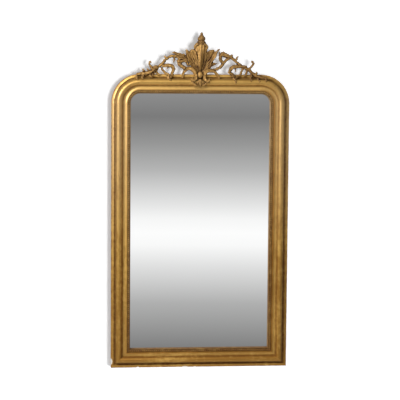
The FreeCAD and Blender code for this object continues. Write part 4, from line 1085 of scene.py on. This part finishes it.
# %% The softwood finishes
ACROSS, UPRIGHT = (0.5, 7, 7), (7, 7, 0.5)
BOARD_TONES = [1.0, 0.86, 1.08, 0.92, 1.02, 0.8]
BOARD_SHIFT = 1.7
CARCASS_PALE, CARCASS_DARK = srgb(138, 100, 62), srgb(84, 56, 32)
UPRIGHT_NODES = ["carcass_stile_left", "carcass_stile_right", "crest_batten", "crest_block"]
ACROSS_NODES = ["carcass_rail_top", "carcass_rail_bottom", "glass_blocks", "glass_shims"]


def pine(name, stretch, pale, dark, shift):
    """Pine whose grain runs where stretch is smallest. shift takes another stretch of the tree."""
    material, tree, shader, where = new_material(name)
    turned = add(tree, "ShaderNodeMapping", Vector=where, Scale=stretch, Location=(shift, shift, shift))
    grain = add(tree, "ShaderNodeGroup", {"node_tree": GRAIN}, Place=turned, Pale=pale, Dark=dark).outputs
    bump = add(tree, "ShaderNodeBump", Strength=0.4, Distance=0.4 * MM, Height=grain["Height"])
    wire(tree, shader, Base_Color=grain["Color"], Roughness=grain["Roughness"], Normal=bump)
    return material


for number, tone in enumerate(BOARD_TONES, start=1):
    pale = srgb(158 * tone, 120 * tone, 78 * tone)
    dark = srgb(98 * tone, 66 * tone, 38 * tone)
    board_pine = pine(f"pine_board_{number}", ACROSS, pale, dark, BOARD_SHIFT * number)
    finish_nodes([f"backboard_{number}"], board_pine)
finish_nodes(UPRIGHT_NODES, pine("pine_upright", UPRIGHT, CARCASS_PALE, CARCASS_DARK, 0.4))
finish_nodes(ACROSS_NODES, pine("pine_rails", ACROSS, CARCASS_PALE, CARCASS_DARK, 0.9))
print("softwood finished:", len(BOARD_TONES + UPRIGHT_NODES + ACROSS_NODES), "nodes")

# %% The iron finish
DARK_IRON, RUST = srgb(74, 70, 66), srgb(96, 58, 36)
IRON_NODES = [
    "backboard_nails", "hanger_screws", "crest_screws", "hanger_plate_left", "hanger_plate_right",
    "hanger_ring_left", "hanger_ring_right",
]


def iron_material():
    material, tree, shader, where = new_material("forged_iron")
    patches = noise(tree, where, 90.0, 4.0)
    specks = noise(tree, where, 700.0)
    rusty = remapped(tree, weighed(tree, (patches, 1.0), (specks, 0.3)), 0.62, 0.8)
    bump = add(tree, "ShaderNodeBump", Strength=0.5, Distance=0.15 * MM, Height=specks)
    wire(tree, shader, Base_Color=mixed(tree, rusty, DARK_IRON, RUST), Normal=bump,
         Roughness=remapped(tree, rusty, 0.0, 1.0, 0.42, 0.85),
         Metallic=remapped(tree, rusty, 0.0, 1.0, 0.85, 0.1))
    return material


finish_nodes(IRON_NODES, iron_material())
print("iron finished:", len(IRON_NODES), "nodes")

# %% [markdown]
# The stage
#
# The mirror hangs on a white wall over a pale floor. The wall is a panel that only the camera sees, and
# only from the front, so that the back can be looked at too. The mirror's soft shadow falls on it to the
# left.

# %% Wall and floor
REACH, WALL_TOP = 1.6, 2.6
WALL_Y = cad_box[1].y + 1 * MM
FLOOR_Z, FLOOR_FRONT = -0.9, -3.2


def stage_material(name, colour, glow):
    """A matt white that glows a little to the camera and can't be seen from behind."""
    material, tree, shader, _ = new_material(name)
    tree.nodes.remove(shader)
    matt = add(tree, "ShaderNodeBsdfDiffuse", Color=colour)
    camera_ray = add(tree, "ShaderNodeLightPath").outputs["Is Camera Ray"]
    light = add(tree, "ShaderNodeEmission", Strength=product(tree, camera_ray, glow))
    both = add(tree, "ShaderNodeAddShader", i0=matt, i1=light)
    clear = add(tree, "ShaderNodeBsdfTransparent")
    behind = add(tree, "ShaderNodeNewGeometry").outputs["Backfacing"]
    shown = add(tree, "ShaderNodeMixShader", i0=behind, i1=both, i2=clear)
    wire(tree, tree.nodes["Material Output"], Surface=shown)
    return material


def panel(name, first_edge, second_edge, material):
    """A flat panel between two edges, given as (y, z), that run from side to side."""
    corners = [(-REACH, *first_edge), (REACH, *first_edge), (REACH, *second_edge), (-REACH, *second_edge)]
    mesh = bpy.data.meshes.new(name)
    mesh.from_pydata(corners, [], [(0, 1, 2, 3)])
    mesh.materials.append(material)
    thing = placed(name, mesh)
    return thing


wall_white = stage_material("wall_white", (0.885, 0.9, 0.91, 1), 0.32)
floor_pale = stage_material("floor_pale", (0.82, 0.82, 0.82, 1), 0.1)
wall = panel("wall", (WALL_Y, FLOOR_Z), (WALL_Y, WALL_TOP), wall_white)
panel("floor", (FLOOR_FRONT, FLOOR_Z), (WALL_Y, FLOOR_Z), floor_pale)
wall.visible_shadow = wall.visible_diffuse = wall.visible_glossy = False
print("wall at y =", round(WALL_Y, 4))

# %% [markdown]
# The lamps
#
# A broad lamp on the left models the section and the carving, a weaker one high in front opens the
# shadows, and one behind lights the back for other views. On the wall they would throw three shadows, so
# they leave it out, and a sun of its own, wide enough for a soft edge, throws the one shadow of the
# photograph.

# %% Lamps
# where the lamps point
MIDDLE = (0, 0, 0.85)
# name, place, width and watts of each lamp
LAMPS = [
    ("key_left", (-3.3, -2.5, 2.7), 2.0, 142),
    ("front_fill", (-1.7, -4.7, 4.3), 1.8, 102),
    ("back_fill", (1.2, 4.6, 2.2), 2.4, 130),
]
SUN_STRENGTH, SUN_ANGLE, SUN_WAY = 2.1, 0.3, (-0.42, 1, 0.08)


def add_lamp(name, kind, power, way, place=(0, 0, 0), **settings):
    """A lamp that shines a given way."""
    light = bpy.data.lights.new(name, kind)
    light.energy = power
    for field, value in settings.items():
        setattr(light, field, value)
    lamp = placed(name, light)
    lamp.location = place
    lamp.rotation_euler = Vector(way).to_track_quat("-Z", "Y").to_euler()
    return lamp


def soft_lamp(name, place, size, power):
    way = Vector(MIDDLE) - Vector(place)
    return add_lamp(name, "AREA", power, way, place, shape="DISK", size=size)


def lights_only(lamps, thing, state):
    """Lets lamps reach one thing alone, or everything but that thing."""
    group = bpy.data.collections.new(lamps[0].name + "_reach")
    group.objects.link(thing)
    group.collection_objects[0].light_linking.link_state = state
    for lamp in lamps:
        lamp.light_linking.receiver_collection = group


lights_only([soft_lamp(*lamp) for lamp in LAMPS], wall, "EXCLUDE")
lights_only([add_lamp("wall_sun", "SUN", SUN_STRENGTH, SUN_WAY, angle=SUN_ANGLE)], wall, "INCLUDE")

# %% [markdown]
# The room in the mirror
#
# In the photograph the plate shows a plain room: grey at the top and the bottom and white in the middle.
# It could be a modelled room, but a ramp on the height of a direction gives the same picture. Reflections
# see the ramp, the camera sees white, and other rays a soft even light.

# %% World
LOWEST, HIGHEST = -0.25, 0.05
# share of the way from the lowest to the highest direction, and grey level
ROOM = [
    (0.0, 100), (0.2, 127), (0.3, 177), (0.383, 226), (0.43, 251), (0.458, 255), (0.49, 248), (0.52, 231),
    (0.6, 182), (0.66, 152), (0.721, 124), (0.775, 143), (1.0, 150),
]
EVEN_LIGHT, WHITE = (0.21, 0.21, 0.21, 1), (1, 1, 1, 1)


def room_ramp(tree):
    """The greys of the room by the height of a direction."""
    height = split(tree, add(tree, "ShaderNodeTexCoord").outputs["Generated"])["Z"]
    share = add(tree, "ShaderNodeMapRange", i0=height, i1=LOWEST, i2=HIGHEST)
    ramp = add(tree, "ShaderNodeValToRGB", Fac=share)
    bands = ramp.color_ramp.elements
    while len(bands) < len(ROOM):
        bands.new(0.5)
    for band, (position, level) in zip(bands, ROOM):
        band.position = position
        band.color = srgb(level, level, level)
    return ramp


def world_light():
    world = bpy.data.worlds.new("studio")
    scene.world = world
    world.use_nodes = True
    tree = world.node_tree
    tree.nodes.clear()
    rays = add(tree, "ShaderNodeLightPath").outputs
    unseen = mixed(tree, rays["Is Glossy Ray"], EVEN_LIGHT, room_ramp(tree))
    seen = mixed(tree, rays["Is Camera Ray"], unseen, WHITE)
    background = add(tree, "ShaderNodeBackground", Color=seen)
    add(tree, "ShaderNodeOutputWorld", Surface=background)


world_light()
print("world:", len(ROOM), "greys in the room")

# %% [markdown]
# The camera
#
# The photograph was taken with a long lens from a little left of the middle, at about the height of the
# frame's top. The corners of the frame and of the sight edge in the photograph give the camera's place,
# turn and lens.

# %% Camera and finish
camera = placed("camera", bpy.data.cameras.new("camera"))
camera.data.lens = 131.86
camera.data.sensor_width = 36.0
camera.location = (-0.7123, -7.1364, 1.4750)
camera.rotation_euler = (math.radians(90 - 5.184), math.radians(-0.438), math.radians(-5.683))
scene.camera = camera
scene.view_settings.view_transform = "Standard"
